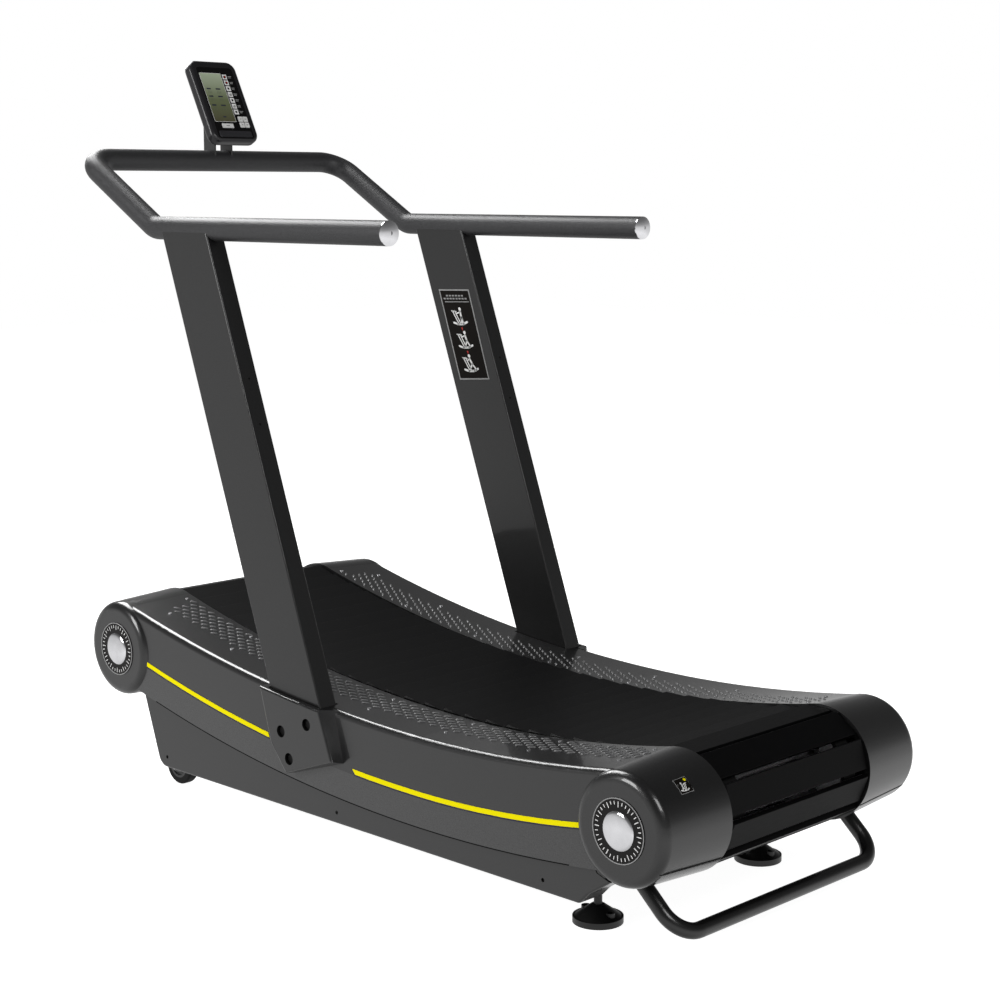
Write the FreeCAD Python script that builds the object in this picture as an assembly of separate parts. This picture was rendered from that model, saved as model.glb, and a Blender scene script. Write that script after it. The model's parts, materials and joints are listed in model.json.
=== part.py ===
import FreeCAD, Part
import math
import os
from FreeCAD import Vector

# Curved manual treadmill, in millimetres. X runs along the machine: the runner faces -X, the
# console is at the -X end and the step-on end is at +X. Y runs across it, +Z is up and the floor
# is z = 0. "left" is the -Y side and "right" the +Y side.

# ---------------------------------------------------------------- driving dimensions
AXLE_SPAN = 1500.0
REAR_X = 760.1
FRONT_X = REAR_X - AXLE_SPAN
REAR_Z = 246.8
FRONT_Z = 323.7

ROLL_R = 114.7            # outer radius of the rolled shell ends beside the belt
ROLL_TAPER = 0.057        # the rolls lose this much radius per unit of Y on their way out
ROLL_STEP = 0.6           # the deck skin sits this far inside the roll
WALL_Y = 374.0            # outer face of the shell's side wall
DISC_Y = 384.0            # outer face of the end discs
BOSS_Y = 400.0            # outer face of the boss around each upright
OPENING_Y = 211.0         # half width of the belt opening
SHELL_T = 4.0
DISC_FILLET = 20.0
DECK_FILLET = 12.0
LIP_DEPTH = 12.0
DECK_LOW_X = REAR_X - 520.0
DECK_LOW_Z = 309.5
SHELL_LOW_Z = 129.0
FRONT_LOW_ANGLE = -54.6   # where the shell's lower edge leaves the front roll
REAR_LOW_ANGLE = -123.0   # and where it meets the rear roll

DRUM_R = 92.0             # radius of the belt's pitch line on both drums
BELT_DROP = 13.5          # from the deck surface down to the belt's pitch line
SAG_R = 9000.0            # radius of the slack lower run
SLAT_PITCH = 58.8
SLAT_PHASE = 40.5         # how far the belt has run past the deck's low point
BELT_Y = 170.0
BELT_W = 36.0
BELT_T = 8.0
SLAT_HALF = 208.0
BAR_W = 50.0
BAR_T = 4.0
BAR_RIB = 12.0
PAD_W = 57.4
PAD_FRONT = 19.5          # height of a pad's leading edge above the pitch line
PAD_REAR = 14.0
PAD_CHAMFER = 3.5         # at both ends of a pad

SHAFT_R = 15.0
DRUM_TUBE_R = 45.0
RUN_GAP = 0.3             # between surfaces that move past each other
FIT = 0.06                # radial clearance of a shaft in its bore
ROLLER_R = 20.0
ROLLER_W = 30.0
ROLLER_COUNT = 6
STUD_R = 5.0

RAIL_IN = 302.5
RAIL_OUT = 342.5
RAIL_LOW = 185.0
RAIL_HIGH = 285.0
CROSS_LOW = 85.0
CROSS_HIGH = 125.0
CROSS_W = 50.0
TUBE_T = 3.0
FRONT_CROSS_X = FRONT_X + 177.0
MIDDLE_CROSS_X = REAR_X - 850.0
FOOT_X = REAR_X - 171.2
FOOT_Y = 243.4
FOOT_R = 48.0
STEM_R = 8.0

UPRIGHT_IN = 342.5
UPRIGHT_OUT = 386.5
UPRIGHT_W = 153.2         # along X, at any height
UPRIGHT_LEAN = 0.3631     # forward run per unit of height
UPRIGHT_FRONT_X = REAR_X - 831.3
UPRIGHT_LOW_Z = 176.0
BOLT_R = 6.0
BOLT_PLACES = [(REAR_X - 902.4, 251.8), (REAR_X - 821.5, 280.9), (REAR_X - 877.9, 198.4)]
ACCESS_R = 12.5

BAR_R = 24.15             # handlebar tube
GRIP_Y = 363.5
GRIP_Z = 1264.5
GRIP_END_X = REAR_X - 601.7
LOWER_BEND_X = REAR_X - 1337.7
CROSSBAR_X = REAR_X - 1591.9
CROSSBAR_Z = 1410.7
LOWER_BEND_R = 50.0
UPPER_BEND_R = 58.0

LIFT_R = 15.0
LIFT_X = REAR_X + 74.4
LIFT_Y = 303.6
LIFT_Z = 51.1
LIFT_BEND_R = 55.0
LIFT_SLOPE = math.radians(42.2)

WHEEL_X = REAR_X - 1432.0
WHEEL_Y = 261.3
WHEEL_R = 45.0
WHEEL_W = 26.0

CONSOLE_X = REAR_X - 1561.2
CONSOLE_Z = 1543.0
CONSOLE_TILT = 27.5
CONSOLE_W = 134.0
CONSOLE_H = 210.0
CONSOLE_T = 30.0
CONSOLE_R = 24.0
BODY_RISE = 6.0           # the body's middle above the window's
LENS_W = 102.6
LENS_H = 184.0
PIVOT_X = REAR_X - 1590.0
PIVOT_Z = 1487.0
KEY_GAP = 0.4

SIDES = {"left": -1, "right": 1}
parts = {}


# ---------------------------------------------------------------- helpers
def point(x, z, y=0.0):
    return Vector(x, y, z)


def box(x0, x1, y0, y1, z0, z1):
    low = Vector(min(x0, x1), min(y0, y1), min(z0, z1))
    return Part.makeBox(abs(x1 - x0), abs(y1 - y0), abs(z1 - z0), low)


def rod(x, z, y0, y1, radius):
    """A cylinder along Y."""
    return Part.makeCylinder(radius, abs(y1 - y0), point(x, z, min(y0, y1)), Vector(0, 1, 0))


def pillar(x, y, z0, z1, radius):
    return Part.makeCylinder(radius, z1 - z0, Vector(x, y, z0), Vector(0, 0, 1))


def fuse(shapes):
    joined = shapes[0].fuse(shapes[1:]).removeSplitter()
    return joined.Solids[0] if len(joined.Solids) == 1 else joined


def prism(edges, y0, y1):
    """A closed outline in the XZ plane, carried from y0 to y1."""
    face = Part.Face(Part.Wire(Part.__sortEdges__(edges)))
    solid = face.extrude(Vector(0, y1 - y0, 0))
    solid.translate(Vector(0, y0, 0))
    return solid


def line(a, b):
    return Part.LineSegment(a, b).toShape()


def mirrored(shape, side):
    """Shapes are drawn on the left, at -Y, and reflected for the right."""
    return shape.mirror(Vector(0, 0, 0), Vector(0, 1, 0)) if side > 0 else shape


def rounded_outline(corners):
    """Edges through (x, z, radius) corners, each rounded to its radius."""
    count = len(corners)
    starts, ends, edges = [], [], []
    for i, (x, z, radius) in enumerate(corners):
        here = point(x, z)
        back = (point(*corners[i - 1][:2]) - here).normalize()
        ahead = (point(*corners[(i + 1) % count][:2]) - here).normalize()
        if radius == 0:
            starts.append(here)
            ends.append(here)
            continue
        half = 0.5 * back.getAngle(ahead)
        reach = radius / math.tan(half)
        centre = here + (back + ahead).normalize() * (radius / math.sin(half))
        middle = centre + (here - centre).normalize() * radius
        starts.append(here + back * reach)
        ends.append(here + ahead * reach)
        edges.append(Part.Arc(starts[-1], middle, ends[-1]).toShape())
    for i in range(count):
        following = starts[(i + 1) % count]
        if (following - ends[i]).Length > 1e-6:
            edges.append(line(ends[i], following))
    return edges


def bent_path(corners):
    """A wire through (Vector, bend radius) corners, open at both ends."""
    edges = []
    last = corners[0][0]
    for i in range(1, len(corners) - 1):
        here, radius = corners[i]
        back = (corners[i - 1][0] - here).normalize()
        ahead = (corners[i + 1][0] - here).normalize()
        half = 0.5 * back.getAngle(ahead)
        reach = radius / math.tan(half)
        centre = here + (back + ahead).normalize() * (radius / math.sin(half))
        middle = centre + (here - centre).normalize() * radius
        edges.append(line(last, here + back * reach))
        last = here + ahead * reach
        edges.append(Part.Arc(here + back * reach, middle, last).toShape())
    edges.append(line(last, corners[-1][0]))
    return Part.Wire(edges)


def tube(path, radius, wall):
    """A round tube along a path."""
    start = path.Vertexes[0].Point
    ahead = path.Edges[0].tangentAt(path.Edges[0].FirstParameter)
    skins = []
    for r in (radius, radius - wall):
        circle = Part.Wire(Part.Circle(start, ahead, r).toShape())
        skins.append(path.makePipeShell([circle], True, False))
    return skins[0].cut(skins[1])


# ---------------------------------------------------------------- the deck curve
def dip_arc(low, end):
    """The arc from end to low that is level at low."""
    dx, dz = end[0] - low[0], end[1] - low[1]
    radius = (dx * dx + dz * dz) / (2 * dz)
    half = 0.5 * math.atan2(dx, radius - dz)
    middle = point(low[0] + radius * math.sin(half), low[1] + radius * (1 - math.cos(half)))
    return Part.Arc(point(*end), middle, point(*low)).toShape()


def tangent_turn(axle_x, axle_z, radius, low_z):
    """Turn of the arc that is level at the deck's low point and touches an axle's circle."""
    return 2 * math.atan2(axle_z + radius - low_z, abs(axle_x - DECK_LOW_X))


def deck_ends(radius, low_z):
    """Where the deck curve touches the two circles of this radius about the axles."""
    front = tangent_turn(FRONT_X, FRONT_Z, radius, low_z)
    rear = tangent_turn(REAR_X, REAR_Z, radius, low_z)
    return ((FRONT_X + radius * math.sin(front), FRONT_Z + radius * math.cos(front)),
            (REAR_X - radius * math.sin(rear), REAR_Z + radius * math.cos(rear)))


def roll_radius(y):
    """Outer radius of the rolled ends, which taper from the belt opening to their discs."""
    return ROLL_R - ROLL_TAPER * (abs(y) - OPENING_Y)


def on_roll(axle_x, axle_z, degrees, radius):
    turn = math.radians(degrees)
    return axle_x + radius * math.cos(turn), axle_z + radius * math.sin(turn)


def band_edges(inset, floor_drop, y):
    """Outline of the side band at y: the deck curve above, the shell's lower edge below."""
    radius = roll_radius(y) - ROLL_STEP - inset
    low = (DECK_LOW_X, DECK_LOW_Z - inset)
    front, rear = deck_ends(radius, low[1])
    floor = (DECK_LOW_X, SHELL_LOW_Z - floor_drop)
    floor_radius = roll_radius(y) - 1.0 + floor_drop
    front_floor = on_roll(FRONT_X, FRONT_Z, FRONT_LOW_ANGLE, floor_radius)
    rear_floor = on_roll(REAR_X, REAR_Z, REAR_LOW_ANGLE, floor_radius)
    return [dip_arc(low, front), dip_arc(low, rear),
            line(point(*rear), point(*rear_floor)),
            dip_arc(floor, rear_floor), dip_arc(floor, front_floor),
            line(point(*front_floor), point(*front))]


def rounded_band(inset, floor_drop, y0, y1, radius):
    """The band carried from the belt opening out to the wall, its top outer edge rounded."""
    outlines = []
    for y, shape_y in ((y0, -OPENING_Y), (y1, -WALL_Y)):
        wire = Part.Wire(Part.__sortEdges__(band_edges(inset, floor_drop, shape_y)))
        wire.translate(Vector(0, y, 0))
        outlines.append(wire)
    solid = Part.makeLoft(outlines, True, True)
    top = [e for e in solid.Edges
           if abs(e.CenterOfMass.y - y1) < 0.01
           and all(v.Z > DECK_LOW_Z - inset - 0.01 for v in e.Vertexes)
           and e.BoundBox.XLength > 100]
    return solid.makeFillet(radius, top)


def roll(axle_x, axle_z, inset, y0, y1, radius):
    """One rolled end with its disc, rounded at the rim."""
    solid = Part.makeCone(roll_radius(y0) - inset, roll_radius(y1) - inset, abs(y1 - y0),
                          point(axle_x, axle_z, y0), Vector(0, -1, 0))
    rim = [e for e in solid.Edges
           if e.BoundBox.YLength < 0.01 and abs(e.CenterOfMass.y - y1) < 0.01]
    return solid.makeFillet(radius, rim)


# ---------------------------------------------------------------- the uprights
def upright_front(z):
    return UPRIGHT_FRONT_X - UPRIGHT_LEAN * z


def leaning_prism(margin, y0, y1, z0, z1):
    """The upright's section, grown by a margin along X, between two heights."""
    corners = [point(upright_front(z0) - margin, z0), point(upright_front(z1) - margin, z1),
               point(upright_front(z1) + UPRIGHT_W + margin, z1),
               point(upright_front(z0) + UPRIGHT_W + margin, z0)]
    edges = [line(corners[i], corners[(i + 1) % 4]) for i in range(4)]
    return prism(edges, y0, y1)


def lift_path():
    """The lift handle's centre line, up to where both arms meet the frame rails."""
    run = (RAIL_LOW - LIFT_Z) / math.tan(LIFT_SLOPE)
    return bent_path([(Vector(LIFT_X - run, -LIFT_Y, RAIL_LOW), 0),
                      (Vector(LIFT_X, -LIFT_Y, LIFT_Z), LIFT_BEND_R),
                      (Vector(LIFT_X, LIFT_Y, LIFT_Z), LIFT_BEND_R),
                      (Vector(LIFT_X - run, LIFT_Y, RAIL_LOW), 0)])


def handlebar_path():
    corners = [(Vector(GRIP_END_X, -GRIP_Y, GRIP_Z), 0),
               (Vector(LOWER_BEND_X, -GRIP_Y, GRIP_Z), LOWER_BEND_R),
               (Vector(CROSSBAR_X, -GRIP_Y, CROSSBAR_Z), UPPER_BEND_R)]
    far = [(Vector(v.x, -v.y, v.z), r) for v, r in reversed(corners)]
    return bent_path(corners + far)


# ---------------------------------------------------------------- side shells
BOSS_FACE = [(-976, 352), (-938.8, 225.6), (-906, 184), (-890, 166), (-746, 219), (-800, 352)]
BOSS_ROOT = [(-978, 352), (-941, 224), (-908, 181), (-892, 160), (-736, 211), (-765, 352)]


def boss():
    """The moulded boss that takes the upright, wider at its root on the rear flank."""
    wires = []
    for outline, y in ((BOSS_FACE, -BOSS_Y), (BOSS_ROOT, -WALL_Y + 6)):
        ring = [point(REAR_X + x, z, y) for x, z in outline]
        wires.append(Part.makePolygon(ring + ring[:1]))
    solid = Part.makeLoft(wires, True, True)
    solid = solid.common(prism(band_edges(0, 0, WALL_Y), -BOSS_Y - 5, -WALL_Y + 10))
    rim = [e for e in solid.Edges
           if abs(e.CenterOfMass.y + BOSS_Y) < 0.01 and e.BoundBox.YLength < 0.01]
    return solid.makeFillet(5.0, rim)


def outside_boss(inset):
    """Everything round the boss's face, less an inset, below the deck: kept clear by the upright."""
    ring = [point(REAR_X + x, z) for x, z in BOSS_FACE]
    room = Part.Face(Part.makePolygon(ring + ring[:1])).makeOffset2D(-inset)
    room = room.extrude(Vector(0, -200, 0))
    around = box(REAR_X - 1100, REAR_X - 600, -250, -450, 100, 352 - inset)
    room.translate(Vector(0, -250, 0))
    return around.cut(room)


def side_shell():
    """The moulded side cover: deck skin, side wall, both rolled ends and the boss."""
    outer = rounded_band(0, 0, -OPENING_Y, -WALL_Y, DECK_FILLET)
    for x, z in ((FRONT_X, FRONT_Z), (REAR_X, REAR_Z)):
        outer = outer.fuse(roll(x, z, 0, -OPENING_Y, -DISC_Y, DISC_FILLET))
    outer = outer.fuse(boss())

    hollow = rounded_band(SHELL_T, 12, -OPENING_Y - SHELL_T, -WALL_Y + SHELL_T,
                          DECK_FILLET - SHELL_T)
    for x, z in ((FRONT_X, FRONT_Z), (REAR_X, REAR_Z)):
        hollow = hollow.fuse(roll(x, z, SHELL_T, -OPENING_Y - SHELL_T, -DISC_Y + SHELL_T,
                                  DISC_FILLET - SHELL_T))
    shell = outer.cut(hollow)

    # below its lip the wall beside the belt is open
    lip = SHELL_T + LIP_DEPTH
    open_side = prism(band_edges(lip, 12, OPENING_Y), -OPENING_Y + 5, -OPENING_Y - SHELL_T - 1)
    for x, z in ((FRONT_X, FRONT_Z), (REAR_X, REAR_Z)):
        open_side = open_side.fuse(rod(x, z, -OPENING_Y + 5, -OPENING_Y - SHELL_T - 1,
                                       ROLL_R - lip))
    shell = shell.cut(open_side)

    slot = leaning_prism(4.0, -UPRIGHT_IN + 3, -UPRIGHT_OUT - 3, UPRIGHT_LOW_Z - 5, 380)
    shell = shell.cut(slot.cut(outside_boss(2.0)))
    for x, z in BOLT_PLACES:
        shell = shell.cut(rod(x, z, -BOSS_Y - 5, -UPRIGHT_OUT, ACCESS_R))
    arm = tube(lift_path(), LIFT_R + 1.5, LIFT_R)
    return max(shell.cut(arm).Solids, key=lambda s: s.Volume)


shell_left = side_shell()
for name, side in SIDES.items():
    parts["side_shell_" + name] = mirrored(shell_left, side)


# ---------------------------------------------------------------- lower side covers
def lower_cover():
    """Folded sheet cover below the shell: a side face with front, bottom and rear flanges."""
    corners = [(-1427, 232, 0), (-1371, 75.5, 30), (-109, 81.5, 12), (-87, 104, 25),
               (-34, 139, 0), (-66, 150, 0), (-82, 175, 0), (-940, 175, 0), (-1000, 182, 0),
               (-1250, 212, 0)]
    outline = rounded_outline([(REAR_X + x, z, r) for x, z, r in corners])
    face = Part.Face(Part.Wire(Part.__sortEdges__(outline)))
    depth = 62.0
    solid = face.extrude(Vector(0, depth, 0))
    solid.translate(Vector(0, -366, 0))
    fold = [e for e in solid.Edges
            if abs(e.CenterOfMass.y + 366) < 0.01 and e.BoundBox.YLength < 0.01
            and e.CenterOfMass.z < 130]
    solid = solid.makeFillet(5.0, fold)
    inner = face.makeOffset2D(-2.5).extrude(Vector(0, depth, 0))
    for rise in (0, 12):
        hollow = inner.copy()
        hollow.translate(Vector(0, -363.5, rise))
        solid = solid.cut(hollow)
    for x, z in ((-1345, 100), (-770, 102), (-197, 104)):
        solid = solid.cut(rod(REAR_X + x, z, -370, -360, 4.0))
    arm = tube(lift_path(), LIFT_R + 1.5, LIFT_R)
    return max(solid.cut(arm).Solids, key=lambda s: s.Volume)


cover_left = lower_cover()
for name, side in SIDES.items():
    parts["lower_cover_" + name] = mirrored(cover_left, side)


# ---------------------------------------------------------------- base frame
def box_tube(x0, x1, y0, y1, z0, z1, along):
    """Rectangular tube with square corners, open at its two ends."""
    outer = box(x0, x1, y0, y1, z0, z1)
    grow = {"x": (50, -TUBE_T, -TUBE_T), "y": (-TUBE_T, 50, -TUBE_T)}[along]
    inner = box(x0 - grow[0], x1 + grow[0], y0 - grow[1], y1 + grow[1], z0 - grow[2], z1 + grow[2])
    return outer.cut(inner)


def bearing_plate(corners):
    outline = rounded_outline([(x, z, r) for x, z, r in corners])
    return prism(outline, -RAIL_IN, -RAIL_IN + 8)


def frame_rail():
    """One long rail with the plates that carry the two shafts' bearings."""
    rail = box_tube(FRONT_X + 120, REAR_X - 20, -RAIL_OUT, -RAIL_IN, RAIL_LOW, RAIL_HIGH, "x")
    front = bearing_plate([(FRONT_X - 50, FRONT_Z - 45, 12), (FRONT_X - 50, FRONT_Z + 45, 20),
                           (FRONT_X + 55, FRONT_Z + 45, 20), (FRONT_X + 300, RAIL_HIGH, 0),
                           (FRONT_X + 300, RAIL_LOW + 5, 0), (FRONT_X + 150, RAIL_LOW + 5, 20),
                           (FRONT_X + 50, FRONT_Z - 62, 10)])
    rear = bearing_plate([(REAR_X - 160, RAIL_LOW + 5, 0), (REAR_X - 160, RAIL_HIGH, 0),
                          (REAR_X - 60, REAR_Z + 48, 0), (REAR_X + 55, REAR_Z + 48, 25),
                          (REAR_X + 55, REAR_Z - 48, 25), (REAR_X - 60, RAIL_LOW + 5, 0)])
    solid = fuse([rail, front, rear])
    holes = [rod(x, z, -RAIL_OUT - 5, -RAIL_IN + 10, BOLT_R) for x, z in BOLT_PLACES]
    holes += [rod(x, z, -RAIL_IN - 5, -RAIL_IN + 10, SHAFT_R + 3)
              for x, z in ((FRONT_X, FRONT_Z), (REAR_X, REAR_Z))]
    return solid.cut(holes)


rail_left = frame_rail()
frame_rails = {name: mirrored(rail_left, side) for name, side in SIDES.items()}
for name, rail in frame_rails.items():
    parts["frame_rail_" + name] = rail


CROSS_PLACES = [FRONT_CROSS_X, MIDDLE_CROSS_X, FOOT_X]
stem_holes = [pillar(FOOT_X, side * FOOT_Y, CROSS_LOW - 5, CROSS_HIGH + 5, STEM_R + FIT)
              for side in SIDES.values()]
crossmembers, rail_posts = [], []
for x in CROSS_PLACES:
    x0, x1 = x - CROSS_W / 2, x + CROSS_W / 2
    beam = box_tube(x0, x1, -RAIL_OUT, RAIL_OUT, CROSS_LOW, CROSS_HIGH, "y")
    crossmembers.append(beam.cut(stem_holes) if x == FOOT_X else beam)
    for side in SIDES.values():
        post = box(x0, x1, side * RAIL_IN, side * RAIL_OUT, CROSS_HIGH, RAIL_LOW)
        rail_posts.append(post.cut(box(x0 + TUBE_T, x1 - TUBE_T, side * (RAIL_IN + TUBE_T),
                                       side * (RAIL_OUT - TUBE_T), CROSS_HIGH, RAIL_LOW)))
parts["frame_crossmembers"] = Part.makeCompound(crossmembers + rail_posts)

TRACK_TUBE_PLACES = [REAR_X - 1180, REAR_X - 680, REAR_X - 230]


def track_foot(x):
    """Lower edge of the roller tracks, which rises towards the front as the belt does."""
    return 208 + 0.022 * (REAR_X - 110 - x)


track_tubes = [box_tube(x - 20, x + 20, -RAIL_IN, RAIL_IN, track_foot(x) - 8, track_foot(x) + 22,
                        "y") for x in TRACK_TUBE_PLACES]
parts["track_tubes"] = Part.makeCompound(track_tubes)


# ---------------------------------------------------------------- the belt's path
BELT_LOW_Z = DECK_LOW_Z - BELT_DROP


def sag_centre():
    """Centre of the arc of the slack run, which touches both drums from below."""
    reach = SAG_R - DRUM_R
    span = math.hypot(REAR_X - FRONT_X, REAR_Z - FRONT_Z)
    tilt = math.atan2(REAR_Z - FRONT_Z, REAR_X - FRONT_X)
    rise = math.sqrt(reach ** 2 - (span / 2) ** 2)
    return ((FRONT_X + REAR_X) / 2 - rise * math.sin(tilt),
            (FRONT_Z + REAR_Z) / 2 + rise * math.cos(tilt))


def belt_arcs():
    """The belt's pitch line: (centre x, centre z, radius, start angle, turn) of each arc."""
    front = tangent_turn(FRONT_X, FRONT_Z, DRUM_R, BELT_LOW_Z)
    rear = tangent_turn(REAR_X, REAR_Z, DRUM_R, BELT_LOW_Z)
    front_r = (DECK_LOW_X - FRONT_X) / math.sin(front) - DRUM_R
    rear_r = (REAR_X - DECK_LOW_X) / math.sin(rear) - DRUM_R
    sag_x, sag_z = sag_centre()
    sag_rear = math.atan2(REAR_Z - sag_z, REAR_X - sag_x)
    sag_front = math.atan2(FRONT_Z - sag_z, FRONT_X - sag_x)
    quarter = math.pi / 2
    return [(DECK_LOW_X, BELT_LOW_Z + front_r, front_r, -quarter - front, front),
            (DECK_LOW_X, BELT_LOW_Z + rear_r, rear_r, -quarter, rear),
            (REAR_X, REAR_Z, DRUM_R, quarter + rear, sag_rear - quarter - rear),
            (sag_x, sag_z, SAG_R, sag_rear, sag_front - sag_rear),
            (FRONT_X, FRONT_Z, DRUM_R, sag_front, -3 * quarter - front - sag_front)]


ARCS = belt_arcs()
BELT_LENGTH = sum(r * abs(turn) for _, _, r, _, turn in ARCS)
SLAT_COUNT = round(BELT_LENGTH / SLAT_PITCH)


def along_belt(distance):
    """The point at a distance along the pitch line, with the direction of travel there."""
    for cx, cz, r, start, turn in ARCS:
        length = r * abs(turn)
        if distance <= length:
            way = math.copysign(1, turn)
            angle = start + way * distance / r
            return cx + r * math.cos(angle), cz + r * math.sin(angle), angle + way * math.pi / 2
        distance -= length
    return along_belt(distance)


def belt_outline(offset):
    """The pitch line moved outwards, as one closed wire."""
    edges = []
    for cx, cz, r, start, turn in ARCS:
        grown = r - offset if turn > 0 else r + offset
        ends = [point(cx + grown * math.cos(a), cz + grown * math.sin(a))
                for a in (start, start + turn / 2, start + turn)]
        edges.append(Part.Arc(*ends).toShape())
    return Part.Wire(Part.__sortEdges__(edges))


def belt_loop(inner, outer, y0, y1):
    """A flat loop between two offsets from the pitch line."""
    solids = [Part.Face(belt_outline(d)).extrude(Vector(0, y1 - y0, 0)) for d in (outer, inner)]
    loop = solids[0].cut(solids[1])
    loop.translate(Vector(0, y0, 0))
    return loop


def carried(shape, distance):
    """A shape drawn at the origin, moved to its place along the belt."""
    x, z, heading = along_belt(distance)
    placed = shape.copy()
    placed.rotate(Vector(0, 0, 0), Vector(0, 1, 0), -math.degrees(heading))
    placed.translate(Vector(x, 0, z))
    return placed


belt_y0, belt_y1 = BELT_Y - BELT_W / 2, BELT_Y + BELT_W / 2
belt_left = belt_loop(-BELT_T / 2, BELT_T / 2, -belt_y1, -belt_y0)
parts["drive_belts"] = Part.makeCompound([belt_left, mirrored(belt_left, 1)])

BAR_LOW = BELT_T / 2 + 0.15
BAR_HIGH = BAR_LOW + BAR_T
slat_bar = fuse([box(-BAR_W / 2, BAR_W / 2, -SLAT_HALF, SLAT_HALF, BAR_LOW, BAR_HIGH),
                 box(-3, 3, -belt_y0 + 8, belt_y0 - 8, BAR_LOW - BAR_RIB, BAR_LOW)])
pad_corners = [(-PAD_W / 2, BAR_HIGH, 0), (-PAD_W / 2, PAD_FRONT, 1.2),
               (PAD_W / 2, PAD_REAR, 1.2), (PAD_W / 2, BAR_HIGH, 0)]
slat_pad = prism(rounded_outline(pad_corners), -SLAT_HALF, SLAT_HALF)
for way in (-1, 1):
    ends = [point(0, PAD_FRONT - PAD_CHAMFER, way * SLAT_HALF),
            point(0, PAD_FRONT + PAD_CHAMFER, way * SLAT_HALF),
            point(0, PAD_FRONT + PAD_CHAMFER, way * (SLAT_HALF - 2 * PAD_CHAMFER))]
    wedge = Part.Face(Part.makePolygon(ends + ends[:1])).extrude(Vector(PAD_W + 10, 0, 0))
    wedge.translate(Vector(-PAD_W / 2 - 5, 0, 0))
    slat_pad = slat_pad.cut(wedge)
step = BELT_LENGTH / SLAT_COUNT
places = [SLAT_PHASE + (i + 0.5) * step for i in range(SLAT_COUNT)]
parts["slat_bars"] = Part.makeCompound([carried(slat_bar, d) for d in places])
parts["slat_pads"] = Part.makeCompound([carried(slat_pad, d) for d in places])


# ---------------------------------------------------------------- drums and bearings
def drum_shaft(x, z):
    """A turned shaft, and round it the wide tube between the two pulleys, held by a web."""
    tube_half = belt_y0 - 1
    middle = rod(x, z, -tube_half, tube_half, DRUM_TUBE_R).cut(
        rod(x, z, -tube_half, tube_half, DRUM_TUBE_R - 4))
    return fuse([rod(x, z, -RAIL_IN + 4, RAIL_IN - 4, SHAFT_R), middle,
                 rod(x, z, -5, 5, DRUM_TUBE_R)])


def pulley(x, z):
    """A belt pulley with a rim, a web with round windows, and a hub."""
    radius = DRUM_R - BELT_T / 2 - RUN_GAP
    body = rod(x, z, -belt_y1 + 1, -belt_y0 - 1, radius)
    groove_in = rod(x, z, -belt_y1, -belt_y1 + 13, radius - 10).cut(
        rod(x, z, -belt_y1, -belt_y1 + 13, SHAFT_R + 12))
    body = body.cut(groove_in)
    for i in range(6):
        turn = math.radians(60 * i)
        spot = 0.5 * (radius + SHAFT_R)
        body = body.cut(rod(x + spot * math.cos(turn), z + spot * math.sin(turn),
                            -belt_y1 - 5, -belt_y0 + 5, 11))
    return body.cut(rod(x, z, -belt_y1 - 5, -belt_y0 + 5, SHAFT_R))


def shaft_bearing(x, z):
    """A two-bolt flanged bearing bolted to the inner face of the bearing plate."""
    face_y = -RAIL_IN + 8
    flange = rod(x, z, face_y, face_y + 8, 26)
    for side in (-1, 1):
        flange = flange.fuse(rod(x + side * 32, z, face_y, face_y + 8, 10))
        flange = flange.fuse(rod(x + side * 32, z, face_y + 8, face_y + 14, 7))
    hub = rod(x, z, face_y, face_y + 20, 23)
    return fuse([flange, hub]).cut(rod(x, z, face_y - 5, face_y + 25, SHAFT_R + FIT))


bearings = []
for end, x, z in (("front", FRONT_X, FRONT_Z), ("rear", REAR_X, REAR_Z)):
    pulley_left = pulley(x, z)
    bearing_left = shaft_bearing(x, z)
    parts[end + "_shaft"] = drum_shaft(x, z)
    parts[end + "_pulleys"] = Part.makeCompound([pulley_left, mirrored(pulley_left, 1)])
    bearings += [bearing_left, mirrored(bearing_left, 1)]
parts["shaft_bearings"] = Part.makeCompound(bearings)

# belt tension screws: each pushes on a rear bearing from a lug on the rail's plate
tension_screws = []
for side in SIDES.values():
    y0, y1 = side * (RAIL_IN - 26), side * (RAIL_IN - 8)
    lug = box(REAR_X - 92, REAR_X - 84, y0, y1, REAR_Z - 9, REAR_Z + 9)
    screw = Part.makeCylinder(4, 60, Vector(REAR_X - 103, side * (RAIL_IN - 17), REAR_Z),
                              Vector(1, 0, 0))
    head = Part.makeCylinder(8, 6, Vector(REAR_X - 109, side * (RAIL_IN - 17), REAR_Z),
                             Vector(1, 0, 0))
    tension_screws.append(fuse([lug, screw, head]))
parts["tension_screws"] = Part.makeCompound(tension_screws)


# ---------------------------------------------------------------- tracks and rollers
TRACK_Y0 = 193.0
TRACK_Y1 = 199.0


def track_rail():
    """A curved plate beside the belt that holds the rollers' studs."""
    inset = BELT_T
    radius = DRUM_R - inset
    low = (DECK_LOW_X, BELT_LOW_Z - inset)
    front, rear = deck_ends(radius, low[1])
    heel = point(REAR_X - 110, track_foot(REAR_X - 110))
    toe = point(FRONT_X + 130, track_foot(FRONT_X + 130))
    edges = [dip_arc(low, front), dip_arc(low, rear), line(point(*rear), heel),
             line(heel, toe), line(toe, point(*front))]
    plate = prism(edges, -TRACK_Y1, -TRACK_Y0)
    plate = plate.cut([rod(x, z, -TRACK_Y1 - 60, -TRACK_Y0 + 60, DRUM_TUBE_R + 8)
                       for x, z in ((FRONT_X, FRONT_Z), (REAR_X, REAR_Z))])
    return plate.cut([box(x - 20, x + 20, -RAIL_IN, RAIL_IN, track_foot(x) - 8, track_foot(x) + 22)
                      for x in TRACK_TUBE_PLACES])


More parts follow.
